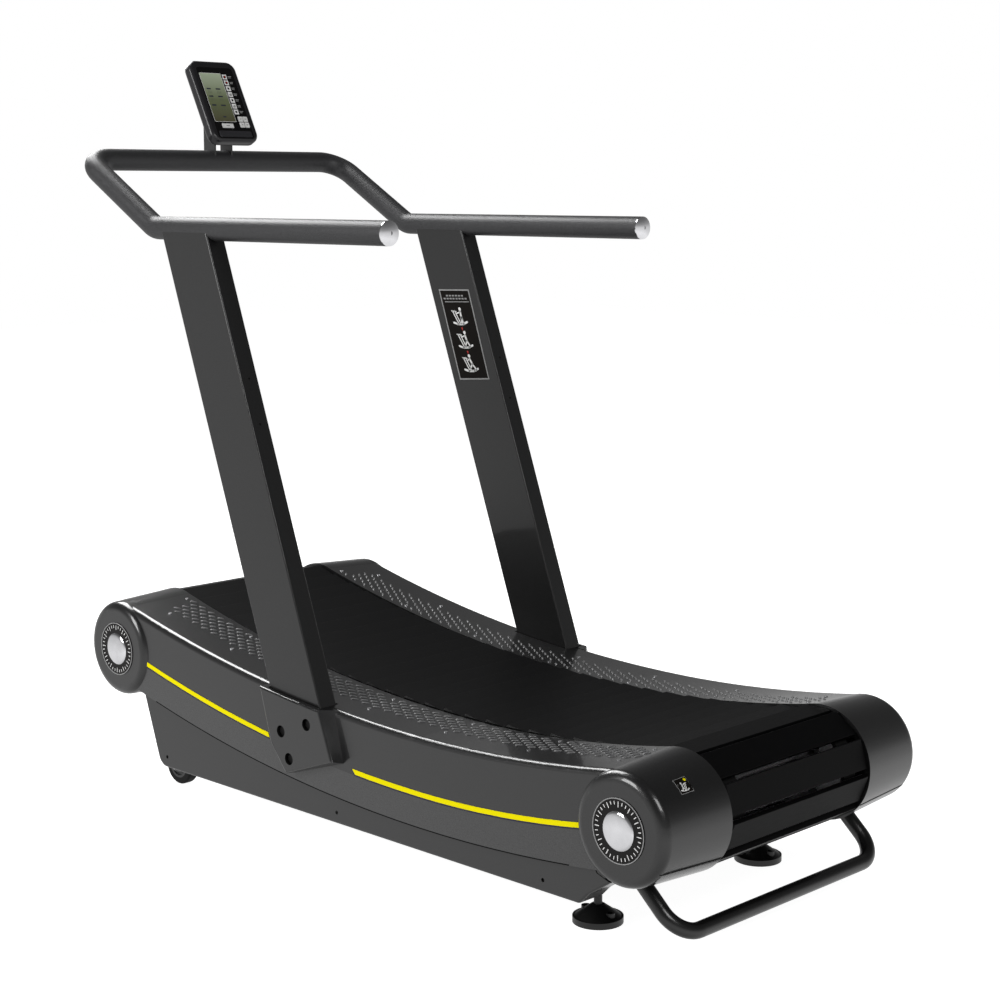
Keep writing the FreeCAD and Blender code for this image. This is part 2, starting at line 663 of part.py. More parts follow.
def roller_place(i):
    """Axis of the i-th pair of rollers, under the belt's upper run."""
    run = ARCS[0][2] * ARCS[0][4] + ARCS[1][2] * ARCS[1][4]
    x, z, heading = along_belt(run * (i + 0.75) / (ROLLER_COUNT + 0.5))
    drop = BELT_T / 2 + RUN_GAP + ROLLER_R
    return x + drop * math.sin(heading), z - drop * math.cos(heading)


track_left = track_rail()
studs = []
for i in range(ROLLER_COUNT):
    x, z = roller_place(i)
    roller = rod(x, z, -BELT_Y - ROLLER_W / 2, -BELT_Y + ROLLER_W / 2, ROLLER_R)
    edges = [e for e in roller.Edges if e.BoundBox.YLength < 0.01]
    roller = roller.makeFillet(1.5, edges)
    roller = roller.cut(rod(x, z, -belt_y1 - 5, -belt_y0 + 5, STUD_R + FIT))
    parts["support_rollers_%d" % (i + 1)] = Part.makeCompound([roller, mirrored(roller, 1)])
    track_left = track_left.cut(rod(x, z, -TRACK_Y1 - 5, -TRACK_Y0 + 5, STUD_R))
    stud = fuse([rod(x, z, -TRACK_Y1, -belt_y0 + 3, STUD_R),
                 rod(x, z, -TRACK_Y1 - 6, -TRACK_Y1, 9),
                 rod(x, z, -belt_y0 + 3, -belt_y0 + 6, 8),
                 rod(x, z, -TRACK_Y0, -BELT_Y - ROLLER_W / 2 - RUN_GAP, 8)])
    studs += [stud, mirrored(stud, 1)]
parts["roller_studs"] = Part.makeCompound(studs)
for name, side in SIDES.items():
    parts["track_rail_" + name] = mirrored(track_left, side)


# ---------------------------------------------------------------- speed sensor
magnet_spot = 60.0
magnet = rod(FRONT_X + magnet_spot, FRONT_Z, -belt_y1 + 1 - 4, -belt_y1 + 1, 5)
parts["speed_magnet"] = fuse([magnet, rod(FRONT_X + magnet_spot, FRONT_Z, -belt_y1 + 1,
                                          -belt_y1 + 15, 3)])
parts["front_pulleys"] = parts["front_pulleys"].cut(
    rod(FRONT_X + magnet_spot, FRONT_Z, -belt_y1 - 5, -belt_y1 + 15, 3))
parts["speed_sensor"] = fuse([box(FRONT_X + 48, FRONT_X + 72, -TRACK_Y1 - 10, -TRACK_Y1,
                                  FRONT_Z - 14, FRONT_Z + 14),
                              box(FRONT_X + 66, FRONT_X + 160, -TRACK_Y1 - 3, -TRACK_Y1,
                                  FRONT_Z - 10, FRONT_Z + 10)])


# ---------------------------------------------------------------- uprights and handlebar
handle_skin = handlebar_path()
parts["handlebar"] = tube(handle_skin, BAR_R, TUBE_T)
handle_solid = tube(handle_skin, BAR_R, BAR_R - 0.5)


def upright():
    """A leaning box-section post, its top coped to the handlebar and its foot bolted."""
    outer = leaning_prism(0, -UPRIGHT_OUT, -UPRIGHT_IN, UPRIGHT_LOW_Z, GRIP_Z)
    corners = [e for e in outer.Edges if abs(e.tangentAt(e.FirstParameter).z) > 0.5]
    outer = outer.makeFillet(3.0, corners)
    inner = leaning_prism(-4.0, -UPRIGHT_OUT + TUBE_T, -UPRIGHT_IN - TUBE_T,
                          UPRIGHT_LOW_Z - 5, GRIP_Z + 5)
    post = outer.cut(inner)
    cope = Part.makeCylinder(BAR_R, 900, Vector(LOWER_BEND_X - 60, -GRIP_Y, GRIP_Z),
                             Vector(1, 0, 0))
    post = post.cut(cope)
    post = post.cut([handle_solid, outside_boss(5.0)])
    keep = max(post.Solids, key=lambda s: s.Volume)
    return keep.cut([rod(x, z, -UPRIGHT_OUT - 5, -UPRIGHT_IN + 5, BOLT_R)
                     for x, z in BOLT_PLACES])


upright_left = upright()
for name, side in SIDES.items():
    parts["upright_" + name] = mirrored(upright_left, side)


def hexagon(x, z, y0, y1, flats):
    ring = []
    for i in range(6):
        turn = math.radians(60 * i + 30)
        ring.append(point(x + flats / math.sqrt(3) * math.cos(turn),
                          z + flats / math.sqrt(3) * math.sin(turn)))
    return prism([line(ring[i], ring[(i + 1) % 6]) for i in range(6)], y0, y1)


bolts = []
for x, z in BOLT_PLACES:
    bolt = fuse([hexagon(x, z, -UPRIGHT_OUT - 7.5, -UPRIGHT_OUT, 18),
                 rod(x, z, -UPRIGHT_OUT, -RAIL_IN + 18, BOLT_R),
                 hexagon(x, z, -RAIL_IN, -RAIL_IN + 10, 18)])
    bolts += [bolt, mirrored(bolt, 1)]
parts["upright_bolts"] = Part.makeCompound(bolts)


def grip_cap():
    """A polished domed plug in the open end of the grip."""
    dome_rise = 5.0
    base = GRIP_END_X
    profile = [Vector(base - 18, 0, 0), Vector(base - 18, 0, BAR_R - TUBE_T),
               Vector(base, 0, BAR_R - TUBE_T), Vector(base, 0, BAR_R),
               Vector(base + 2.0, 0, BAR_R)]
    tip = Vector(base + 2.0 + dome_rise, 0, 0)
    sphere_r = (BAR_R ** 2 + dome_rise ** 2) / (2 * dome_rise)
    turn = 0.5 * math.asin(BAR_R / sphere_r)
    middle = Vector(tip.x - sphere_r * (1 - math.cos(turn)), 0, sphere_r * math.sin(turn))
    edges = [line(profile[i], profile[i + 1]) for i in range(4)]
    edges += [Part.Arc(profile[4], middle, tip).toShape(), line(tip, profile[0])]
    solid = Part.Face(Part.Wire(edges)).revolve(Vector(0, 0, 0), Vector(1, 0, 0), 360)
    solid.translate(Vector(0, -GRIP_Y, GRIP_Z))
    return solid


cap_left = grip_cap()
parts["grip_caps"] = Part.makeCompound([cap_left, mirrored(cap_left, 1)])


# ---------------------------------------------------------------- lift handle
lift_handle = tube(lift_path(), LIFT_R, 2.5).cut(list(frame_rails.values()))
parts["lift_handle"] = max(lift_handle.Solids, key=lambda s: s.Volume)


# ---------------------------------------------------------------- front wheels
AXLE_BOLT_R = 5.0
HUB_R = 30.0
wheel_brackets, wheel_bolts = [], []
for name, side in SIDES.items():
    y = side * WHEEL_Y
    half = WHEEL_W / 2
    hub = rod(WHEEL_X, WHEEL_R, y - half, y + half, HUB_R)
    groove = rod(WHEEL_X, WHEEL_R, y - half - 1, y - half + 4, HUB_R - 5).cut(
        rod(WHEEL_X, WHEEL_R, y - half - 1, y - half + 4, 11))
    other = rod(WHEEL_X, WHEEL_R, y + half - 4, y + half + 1, HUB_R - 5).cut(
        rod(WHEEL_X, WHEEL_R, y + half - 4, y + half + 1, 11))
    hub = hub.cut([groove, other, rod(WHEEL_X, WHEEL_R, y - 40, y + 40, AXLE_BOLT_R + FIT)])
    tyre = rod(WHEEL_X, WHEEL_R, y - half, y + half, WHEEL_R)
    shoulders = [e for e in tyre.Edges if e.BoundBox.YLength < 0.01]
    tyre = tyre.makeFillet(5.0, shoulders).cut(rod(WHEEL_X, WHEEL_R, y - 40, y + 40, HUB_R))
    parts["wheel_hub_" + name] = hub
    parts["wheel_tyre_" + name] = tyre
    for way in (-1, 1):
        inner = y + way * (half + 2.5)
        outer = y + way * (half + 6.5)
        ear = rounded_outline([(WHEEL_X - 16, WHEEL_R - 14, 12), (WHEEL_X + 14, WHEEL_R - 14, 12),
                               (FRONT_CROSS_X - CROSS_W / 2, CROSS_LOW - 5, 0),
                               (FRONT_CROSS_X - CROSS_W / 2, CROSS_HIGH, 0),
                               (WHEEL_X - 16, CROSS_HIGH - 15, 12)])
        plate = prism(ear, min(inner, outer), max(inner, outer))
        wheel_brackets.append(plate.cut(rod(WHEEL_X, WHEEL_R, y - 40, y + 40, AXLE_BOLT_R)))
    bolt = fuse([rod(WHEEL_X, WHEEL_R, y - half - 9, y + half + 9, AXLE_BOLT_R),
                 rod(WHEEL_X, WHEEL_R, y - half - 11.5, y - half - 6.5, 8.5),
                 rod(WHEEL_X, WHEEL_R, y + half + 6.5, y + half + 11.5, 8.5)])
    wheel_bolts.append(bolt)
parts["wheel_brackets"] = Part.makeCompound(wheel_brackets)
parts["wheel_bolts"] = Part.makeCompound(wheel_bolts)


# ---------------------------------------------------------------- levelling feet
PAD_EDGE = 12.0
CONE_TOP = 34.0


def foot(y):
    """A moulded disc with a cone, two anchor lugs, and a threaded stem."""
    disc = pillar(FOOT_X, y, 0, PAD_EDGE, FOOT_R)
    cone = Part.makeCone(FOOT_R - 4, 13, CONE_TOP - PAD_EDGE, Vector(FOOT_X, y, PAD_EDGE),
                         Vector(0, 0, 1))
    pad = disc.fuse(cone)
    for way in (-1, 1):
        pad = pad.fuse(pillar(FOOT_X + way * 30, y, 5, 24, 9))
    stem = pillar(FOOT_X, y, CONE_TOP - 5, CROSS_HIGH, STEM_R)
    return fuse([pad, stem]).cut([pillar(FOOT_X + way * 30, y, 12, 40, 5) for way in (-1, 1)])


def hex_nut(y, z0, z1, flats):
    ring = [Vector(FOOT_X + flats / math.sqrt(3) * math.cos(math.radians(60 * i)),
                   y + flats / math.sqrt(3) * math.sin(math.radians(60 * i)), z0)
            for i in range(6)]
    face = Part.Face(Part.makePolygon(ring + ring[:1]))
    return face.extrude(Vector(0, 0, z1 - z0)).cut(pillar(FOOT_X, y, z0 - 1, z1 + 1,
                                                          STEM_R + FIT))


for name, side in SIDES.items():
    parts["foot_" + name] = foot(side * FOOT_Y)
parts["foot_locknuts"] = Part.makeCompound([hex_nut(side * FOOT_Y, CROSS_LOW - 13, CROSS_LOW, 26)
                                            for side in SIDES.values()])


# ---------------------------------------------------------------- end badges and deck screws
badges = []
for x, z in ((FRONT_X, FRONT_Z), (REAR_X, REAR_Z)):
    badge = rod(x, z, -DISC_Y - 1.5, -DISC_Y, 60.0)
    badges += [badge, mirrored(badge, 1)]
parts["end_badges"] = Part.makeCompound(badges)


def deck_height(x, y):
    """Height of the deck skin at a place between the two rolls."""
    radius = roll_radius(y) - ROLL_STEP
    turn = tangent_turn(FRONT_X if x < DECK_LOW_X else REAR_X,
                        FRONT_Z if x < DECK_LOW_X else REAR_Z, radius, DECK_LOW_Z)
    span = (DECK_LOW_X - FRONT_X) if x < DECK_LOW_X else (REAR_X - DECK_LOW_X)
    big = span / math.sin(turn) - radius
    return DECK_LOW_Z + big - math.sqrt(big ** 2 - (x - DECK_LOW_X) ** 2)


DECK_SCREW_ROWS = {-232.0: [REAR_X - 1440 + 232 * i for i in range(7)],
                   -312.0: [REAR_X - 1395 + 222 * i for i in range(7)]}
deck_screws = []
for y, row in DECK_SCREW_ROWS.items():
    for x in row:
        if abs(x - upright_front(DECK_LOW_Z) - UPRIGHT_W / 2) < 100 and y < -300:
            continue
        z = deck_height(x, y)
        screw = fuse([pillar(x, y, z - 0.4, z + 1.6, 4.0), pillar(x, y, z - 16, z - 0.4, 2.0)])
        deck_screws += [screw, mirrored(screw, 1)]
parts["deck_screws"] = Part.makeCompound(deck_screws)
for name, side in SIDES.items():
    tools = [s for s in deck_screws if s.BoundBox.Center.y * side > 0]
    parts["side_shell_" + name] = parts["side_shell_" + name].cut(tools)


# ---------------------------------------------------------------- console
def on_console(shape):
    """Moves a shape drawn upright, its face at x = 0, into the console's place."""
    placed = shape.copy()
    placed.rotate(Vector(0, 0, 0), Vector(0, 1, 0), -CONSOLE_TILT)
    placed.translate(Vector(CONSOLE_X, 0, CONSOLE_Z))
    return placed


def slab(width, height, radius, x0, x1, y=0.0, z=0.0):
    """A plate with rounded corners, facing +X, between two depths."""
    w, h = width / 2, height / 2
    solid = box(x0, x1, y - w, y + w, z - h, z + h)
    if radius == 0:
        return solid
    corners = [e for e in solid.Edges if e.BoundBox.XLength > abs(x1 - x0) - 0.01]
    return solid.makeFillet(radius, corners)


def face_edges(solid, x):
    return [e for e in solid.Edges
            if e.BoundBox.XLength < 0.01 and abs(e.CenterOfMass.x - x) < 0.01]


SPLIT = -15.0
CONSOLE_WALL = 2.5
LCD_Y, LCD_Z, LCD_W, LCD_H = -16.7, 13.8, 60.0, 125.0
KEYS = {"key_mode": (-15.0, -60.0, 32.0, 11.0),
        "key_reset": (27.5, -42.0, 12.5, 13.0), "key_set": (41.5, -42.0, 12.5, 13.0),
        "key_up": (27.5, -57.0, 12.5, 13.0), "key_down": (41.5, -57.0, 12.5, 13.0)}
KEY_PROUD = 1.6

FRONT_FILLET = 9.0
BACK_FILLET = 12.0

front = slab(CONSOLE_W, CONSOLE_H, CONSOLE_R, SPLIT, 0, 0, BODY_RISE)
front = front.makeFillet(FRONT_FILLET, face_edges(front, 0))
front = front.cut(slab(CONSOLE_W - 2 * CONSOLE_WALL, CONSOLE_H - 2 * CONSOLE_WALL,
                       CONSOLE_R - CONSOLE_WALL, SPLIT - 1, -8.0, 0, BODY_RISE))
front = front.cut(slab(LENS_W, LENS_H, 8.0, -2.0, 1.0))
front = front.cut(slab(LCD_W, LCD_H, 0, -8.0, 1.0, LCD_Y, LCD_Z))
lens = slab(LENS_W, LENS_H, 8.0, -2.0, -0.2)
board = slab(CONSOLE_W - 14, CONSOLE_H - 34, 4.0, -12.4, -10.8)
for name, (y, z, width, height) in KEYS.items():
    hole = slab(width + 2 * KEY_GAP, height + 2 * KEY_GAP, 1.5, -8.0, 1.0, y, z)
    front = front.cut(hole)
    lens = lens.cut(hole)
    cap = slab(width, height, 1.2, -7.0, KEY_PROUD, y, z)
    cap = cap.makeFillet(0.6, face_edges(cap, KEY_PROUD))
    parts[name] = on_console(cap)

rear = slab(CONSOLE_W, CONSOLE_H, CONSOLE_R, -CONSOLE_T, SPLIT, 0, BODY_RISE)
rear = rear.makeFillet(BACK_FILLET, face_edges(rear, -CONSOLE_T))
room = slab(CONSOLE_W - 2 * CONSOLE_WALL, CONSOLE_H - 2 * CONSOLE_WALL,
            CONSOLE_R - CONSOLE_WALL, -CONSOLE_T + CONSOLE_WALL, SPLIT + 1, 0, BODY_RISE)
rear = rear.cut(room.makeFillet(BACK_FILLET - CONSOLE_WALL,
                                face_edges(room, -CONSOLE_T + CONSOLE_WALL)))
DOOR_Z = 48.0
DOOR_W, DOOR_H = 62.0, 44.0
rear = rear.cut(slab(DOOR_W, DOOR_H, 3.0, -CONSOLE_T - 1, -CONSOLE_T + 5, 0, DOOR_Z))
door = slab(DOOR_W - 0.6, DOOR_H - 0.6, 3.0, -CONSOLE_T, -CONSOLE_T + 2, 0, DOOR_Z)
door = door.fuse([box(-CONSOLE_T - 0.6, -CONSOLE_T, -12, 12, DOOR_Z + 8 + 3 * i, DOOR_Z + 9.2 + 3 * i)
                  for i in range(4)])
cells = []
for way in (-1, 1):
    body = Part.makeCylinder(5.25, 42, Vector(-CONSOLE_T + 8, -22, DOOR_Z + 9 * way),
                             Vector(0, 1, 0))
    tip = Part.makeCylinder(2, 2, Vector(-CONSOLE_T + 8, 20, DOOR_Z + 9 * way), Vector(0, 1, 0))
    cells.append(body.fuse(tip))

# pivot lug on the console's back, between the two plates of the bracket
turn = math.radians(CONSOLE_TILT)
off_x, off_z = PIVOT_X - CONSOLE_X, PIVOT_Z - CONSOLE_Z
lug_x = off_x * math.cos(turn) + off_z * math.sin(turn)
lug_z = -off_x * math.sin(turn) + off_z * math.cos(turn)
LUG_HALF = 21.5
PIVOT_R = 4.0
lug = fuse([box(lug_x, -CONSOLE_T + 1, -LUG_HALF, LUG_HALF, lug_z - 11, lug_z + 11),
            rod(lug_x, lug_z, -LUG_HALF, LUG_HALF, 11)])
rear = rear.fuse(lug).cut(rod(lug_x, lug_z, -LUG_HALF - 5, LUG_HALF + 5, PIVOT_R + FIT))

console_screws = []
for y in (-1, 1):
    for z in (-1, 1):
        corner = Vector(-CONSOLE_T - 0.4, y * 46, BODY_RISE + z * 82)
        head = Part.makeCylinder(3.2, 1.6, corner, Vector(1, 0, 0))
        shank = Part.makeCylinder(1.5, 18, corner + Vector(1.6, 0, 0), Vector(1, 0, 0))
        console_screws.append(head.fuse(shank))
rear = rear.cut(console_screws)
board = board.cut(console_screws)

parts["console_front"] = on_console(front)
parts["console_rear"] = on_console(rear)
parts["console_lens"] = on_console(lens)
parts["console_display"] = on_console(slab(LCD_W - 1, LCD_H - 1, 0, -6.0, -2.2, LCD_Y, LCD_Z))
parts["console_board"] = on_console(board)
parts["battery_door"] = on_console(door)
parts["battery_cells"] = on_console(Part.makeCompound(cells))
parts["console_screws"] = on_console(Part.makeCompound(console_screws))

PLATE_Y0 = LUG_HALF + RUN_GAP
PLATE_Y1 = PLATE_Y0 + 4.0
plate_outline = rounded_outline([(CROSSBAR_X - 20, CROSSBAR_Z, 0),
                                 (CROSSBAR_X - 20, PIVOT_Z + 14, 14),
                                 (CROSSBAR_X + 21, PIVOT_Z + 14, 14),
                                 (CROSSBAR_X + 21, CROSSBAR_Z, 0)])
plate = prism(plate_outline, -PLATE_Y1, -PLATE_Y0)
plate = plate.cut(rod(CROSSBAR_X, CROSSBAR_Z, -100, 100, BAR_R))
plate = max(plate.Solids, key=lambda s: s.Volume)
plate = plate.cut(rod(PIVOT_X, PIVOT_Z, -100, 100, PIVOT_R))
parts["console_bracket"] = Part.makeCompound([plate, mirrored(plate, 1)])
parts["pivot_bolt"] = fuse([rod(PIVOT_X, PIVOT_Z, -PLATE_Y1 - 1, PLATE_Y1 + 8, PIVOT_R),
                            rod(PIVOT_X, PIVOT_Z, -PLATE_Y1 - 5, -PLATE_Y1, 7.5),
                            hexagon(PIVOT_X, PIVOT_Z, PLATE_Y1, PLATE_Y1 + 6.5, 13)])


# ---------------------------------------------------------------- export
os.makedirs("parts", exist_ok=True)
whole = Part.makeCompound(list(parts.values())).BoundBox
print("nodes", len(parts), "slats", SLAT_COUNT, "belt length %.1f" % BELT_LENGTH)
print("x %.2f %.2f  y %.2f %.2f  z %.2f %.2f" % (whole.XMin, whole.XMax, whole.YMin, whole.YMax,
                                               whole.ZMin, whole.ZMax))
for node, shape in parts.items():
    if not shape.isValid() or not shape.Solids:
        print("not sound:", node, shape.isValid(), len(shape.Solids))
    shape.exportStep("parts/%s.step" % node)
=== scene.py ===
import json
import math

import bmesh
import bpy
from mathutils import Matrix, Vector
from mathutils.bvhtree import BVHTree
from mathutils.kdtree import KDTree


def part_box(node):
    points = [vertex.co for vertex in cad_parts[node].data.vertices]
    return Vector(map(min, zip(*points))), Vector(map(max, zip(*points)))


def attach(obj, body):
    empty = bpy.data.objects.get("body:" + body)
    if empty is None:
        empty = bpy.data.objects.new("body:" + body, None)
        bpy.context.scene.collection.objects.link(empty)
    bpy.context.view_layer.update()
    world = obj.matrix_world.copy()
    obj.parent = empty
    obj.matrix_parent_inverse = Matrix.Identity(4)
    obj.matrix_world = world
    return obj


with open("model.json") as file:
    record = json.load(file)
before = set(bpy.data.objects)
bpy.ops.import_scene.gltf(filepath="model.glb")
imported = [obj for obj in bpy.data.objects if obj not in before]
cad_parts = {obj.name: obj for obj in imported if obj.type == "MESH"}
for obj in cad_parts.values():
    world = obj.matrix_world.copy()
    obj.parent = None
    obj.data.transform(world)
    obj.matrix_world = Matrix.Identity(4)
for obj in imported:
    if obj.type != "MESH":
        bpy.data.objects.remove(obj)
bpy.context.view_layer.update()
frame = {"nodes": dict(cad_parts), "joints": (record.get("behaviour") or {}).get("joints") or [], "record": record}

# Looks of the curved treadmill. Metres, in the frame of the CAD model: +X is the step-on end and
# the console is at -X. Distances written as "dx" are measured along X from the rear axle.

SIDES = {"left": -1, "right": 1}


def middle(node):
    low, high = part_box(node)
    return (low + high) / 2


REAR = middle("rear_shaft")
FRONT = middle("front_shaft")
WALL_Y = 0.374            # outer face of the side wall
DISC_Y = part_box("end_badges")[1].y
INNER_UPRIGHT_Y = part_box("upright_right")[0].y


# ---------------------------------------------------------------- materials
def ramp_node(nodes, stops):
    ramp = nodes.new("ShaderNodeValToRGB")
    ramp.color_ramp.elements[0].position, ramp.color_ramp.elements[0].color = stops[0]
    ramp.color_ramp.elements[1].position, ramp.color_ramp.elements[1].color = stops[-1]
    for position, colour in stops[1:-1]:
        ramp.color_ramp.elements.new(position).color = colour
    return ramp


def grey(level):
    return level, level, level, 1.0


def shade(colour, factor):
    return tuple(min(1.0, c * factor) for c in colour) + (1.0,)


def finish(name, colour, rough, metallic=0.0, specular=0.5, grain=700.0, contrast=0.15,
           bump=0.12, spread=0.06, coat=0.0, stretch=(1, 1, 1)):
    """A surface whose colour, roughness and relief all follow one fine noise."""
    material = bpy.data.materials.new(name)
    material.use_nodes = True
    nodes, links = material.node_tree.nodes, material.node_tree.links
    shader = nodes["Principled BSDF"]
    shader.inputs["Metallic"].default_value = metallic
    shader.inputs["Specular IOR Level"].default_value = specular
    shader.inputs["Coat Weight"].default_value = coat
    shader.inputs["Coat Roughness"].default_value = 0.06
    place = nodes.new("ShaderNodeTexCoord")
    scale = nodes.new("ShaderNodeMapping")
    scale.inputs["Scale"].default_value = stretch
    noise = nodes.new("ShaderNodeTexNoise")
    noise.inputs["Scale"].default_value = grain
    noise.inputs["Detail"].default_value = 3.0
    links.new(place.outputs["Object"], scale.inputs["Vector"])
    links.new(scale.outputs["Vector"], noise.inputs["Vector"])
    ramp = ramp_node(nodes, [(0.3, shade(colour, 1 - contrast)), (0.7, shade(colour, 1 + contrast))])
    links.new(noise.outputs["Fac"], ramp.inputs["Fac"])
    links.new(ramp.outputs["Color"], shader.inputs["Base Color"])
    level = nodes.new("ShaderNodeMapRange")
    level.inputs["To Min"].default_value = max(0.02, rough - spread)
    level.inputs["To Max"].default_value = min(1.0, rough + spread)
    links.new(noise.outputs["Fac"], level.inputs["Value"])
    links.new(level.outputs["Result"], shader.inputs["Roughness"])
    relief = nodes.new("ShaderNodeBump")
    relief.inputs["Strength"].default_value = bump
    relief.inputs["Distance"].default_value = 0.0004
    links.new(noise.outputs["Fac"], relief.inputs["Height"])
    links.new(relief.outputs["Normal"], shader.inputs["Normal"])
    return material


def display_glass_painted_sheen():
    """A reflective display: grey-green, faintly mottled, and painted paler towards the top as a painted
    reflection.
    """
    material = finish("display_glass_painted_sheen", (0.1, 0.12, 0.07), 0.22, grain=60.0, bump=0.0, coat=0.4)
    nodes, links = material.node_tree.nodes, material.node_tree.links
    place = nodes.new("ShaderNodeTexCoord")
    split = nodes.new("ShaderNodeSeparateXYZ")
    links.new(place.outputs["Generated"], split.inputs["Vector"])
    # painted reflection: the colour grows paler towards the display's top
    ramp = ramp_node(nodes, [(0.0, (0.10, 0.095, 0.05, 1)), (0.45, (0.17, 0.20, 0.10, 1)),
                             (1.0, (0.50, 0.58, 0.42, 1))])
    links.new(split.outputs["Z"], ramp.inputs["Fac"])
    links.new(ramp.outputs["Color"], nodes["Principled BSDF"].inputs["Base Color"])
    return material


# The skirt: the side wall below the stripe's line, whose paler colour is painted light from the floor.
SKIRT_LOW_DX = -0.520      # where the skirt's upper line is lowest
SKIRT_LOW_Z = 0.1905
SKIRT_BOWS = (("MINIMUM", 0.134), ("MAXIMUM", 0.205))   # its bend forward and back of there
SKIRT_REACH = (-1.02, 0.56)
SKIRT_SHELL = (0.3725, 0.3745)   # the wall's outer skin lies between these distances from the middle


def painted_skirt_light(material, colour):
    """Painted light: below the stripe's line the side wall is painted paler, standing in for light from the bright
    floor below, and more speckled.
    """
    nodes, links = material.node_tree.nodes, material.node_tree.links
    shader = nodes["Principled BSDF"]
    plain = shader.inputs["Base Color"].links[0].from_socket
    noise = next(n for n in nodes if n.type == "TEX_NOISE")

    def sum_of(operation, a, b):
        node = nodes.new("ShaderNodeMath")
        node.operation = operation
        for socket, value in zip(node.inputs, (a, b)):
            if isinstance(value, float):
                socket.default_value = value
            else:
                links.new(value, socket)
        return node.outputs[0]

    place = nodes.new("ShaderNodeTexCoord")
    split = nodes.new("ShaderNodeSeparateXYZ")
    links.new(place.outputs["Object"], split.inputs["Vector"])
    run = sum_of("SUBTRACT", split.outputs["X"], REAR.x + SKIRT_LOW_DX)
    line = sum_of("SUBTRACT", split.outputs["Z"], SKIRT_LOW_Z)
    for side, bow in SKIRT_BOWS:
        reach = sum_of(side, run, 0.0)
        line = sum_of("SUBTRACT", line, sum_of("MULTIPLY", sum_of("MULTIPLY", reach, reach), bow))
    below = sum_of("LESS_THAN", line, 0.0)
    away = sum_of("ABSOLUTE", split.outputs["Y"], 0.0)
    outside = sum_of("GREATER_THAN", away, SKIRT_SHELL[0])
    wall = sum_of("LESS_THAN", away, SKIRT_SHELL[1])
    inner = sum_of("MULTIPLY", sum_of("GREATER_THAN", run, SKIRT_REACH[0]),
                   sum_of("LESS_THAN", run, SKIRT_REACH[1]))
    skirt_light_mask = sum_of("MULTIPLY", sum_of("MULTIPLY", below, sum_of("MULTIPLY", outside, wall)), inner)
    # painted light: the paler speckled colour of the skirt
    painted_light_speckle = ramp_node(nodes, [(0.35, shade(colour, 0.55)), (0.65, shade(colour, 1.5))])
    links.new(noise.outputs["Fac"], painted_light_speckle.inputs["Fac"])
    pick = nodes.new("ShaderNodeMix")
    pick.data_type = "RGBA"
    links.new(skirt_light_mask, pick.inputs["Factor"])
    links.new(plain, pick.inputs["A"])
    links.new(painted_light_speckle.outputs["Color"], pick.inputs["B"])
    links.new(pick.outputs["Result"], shader.inputs["Base Color"])


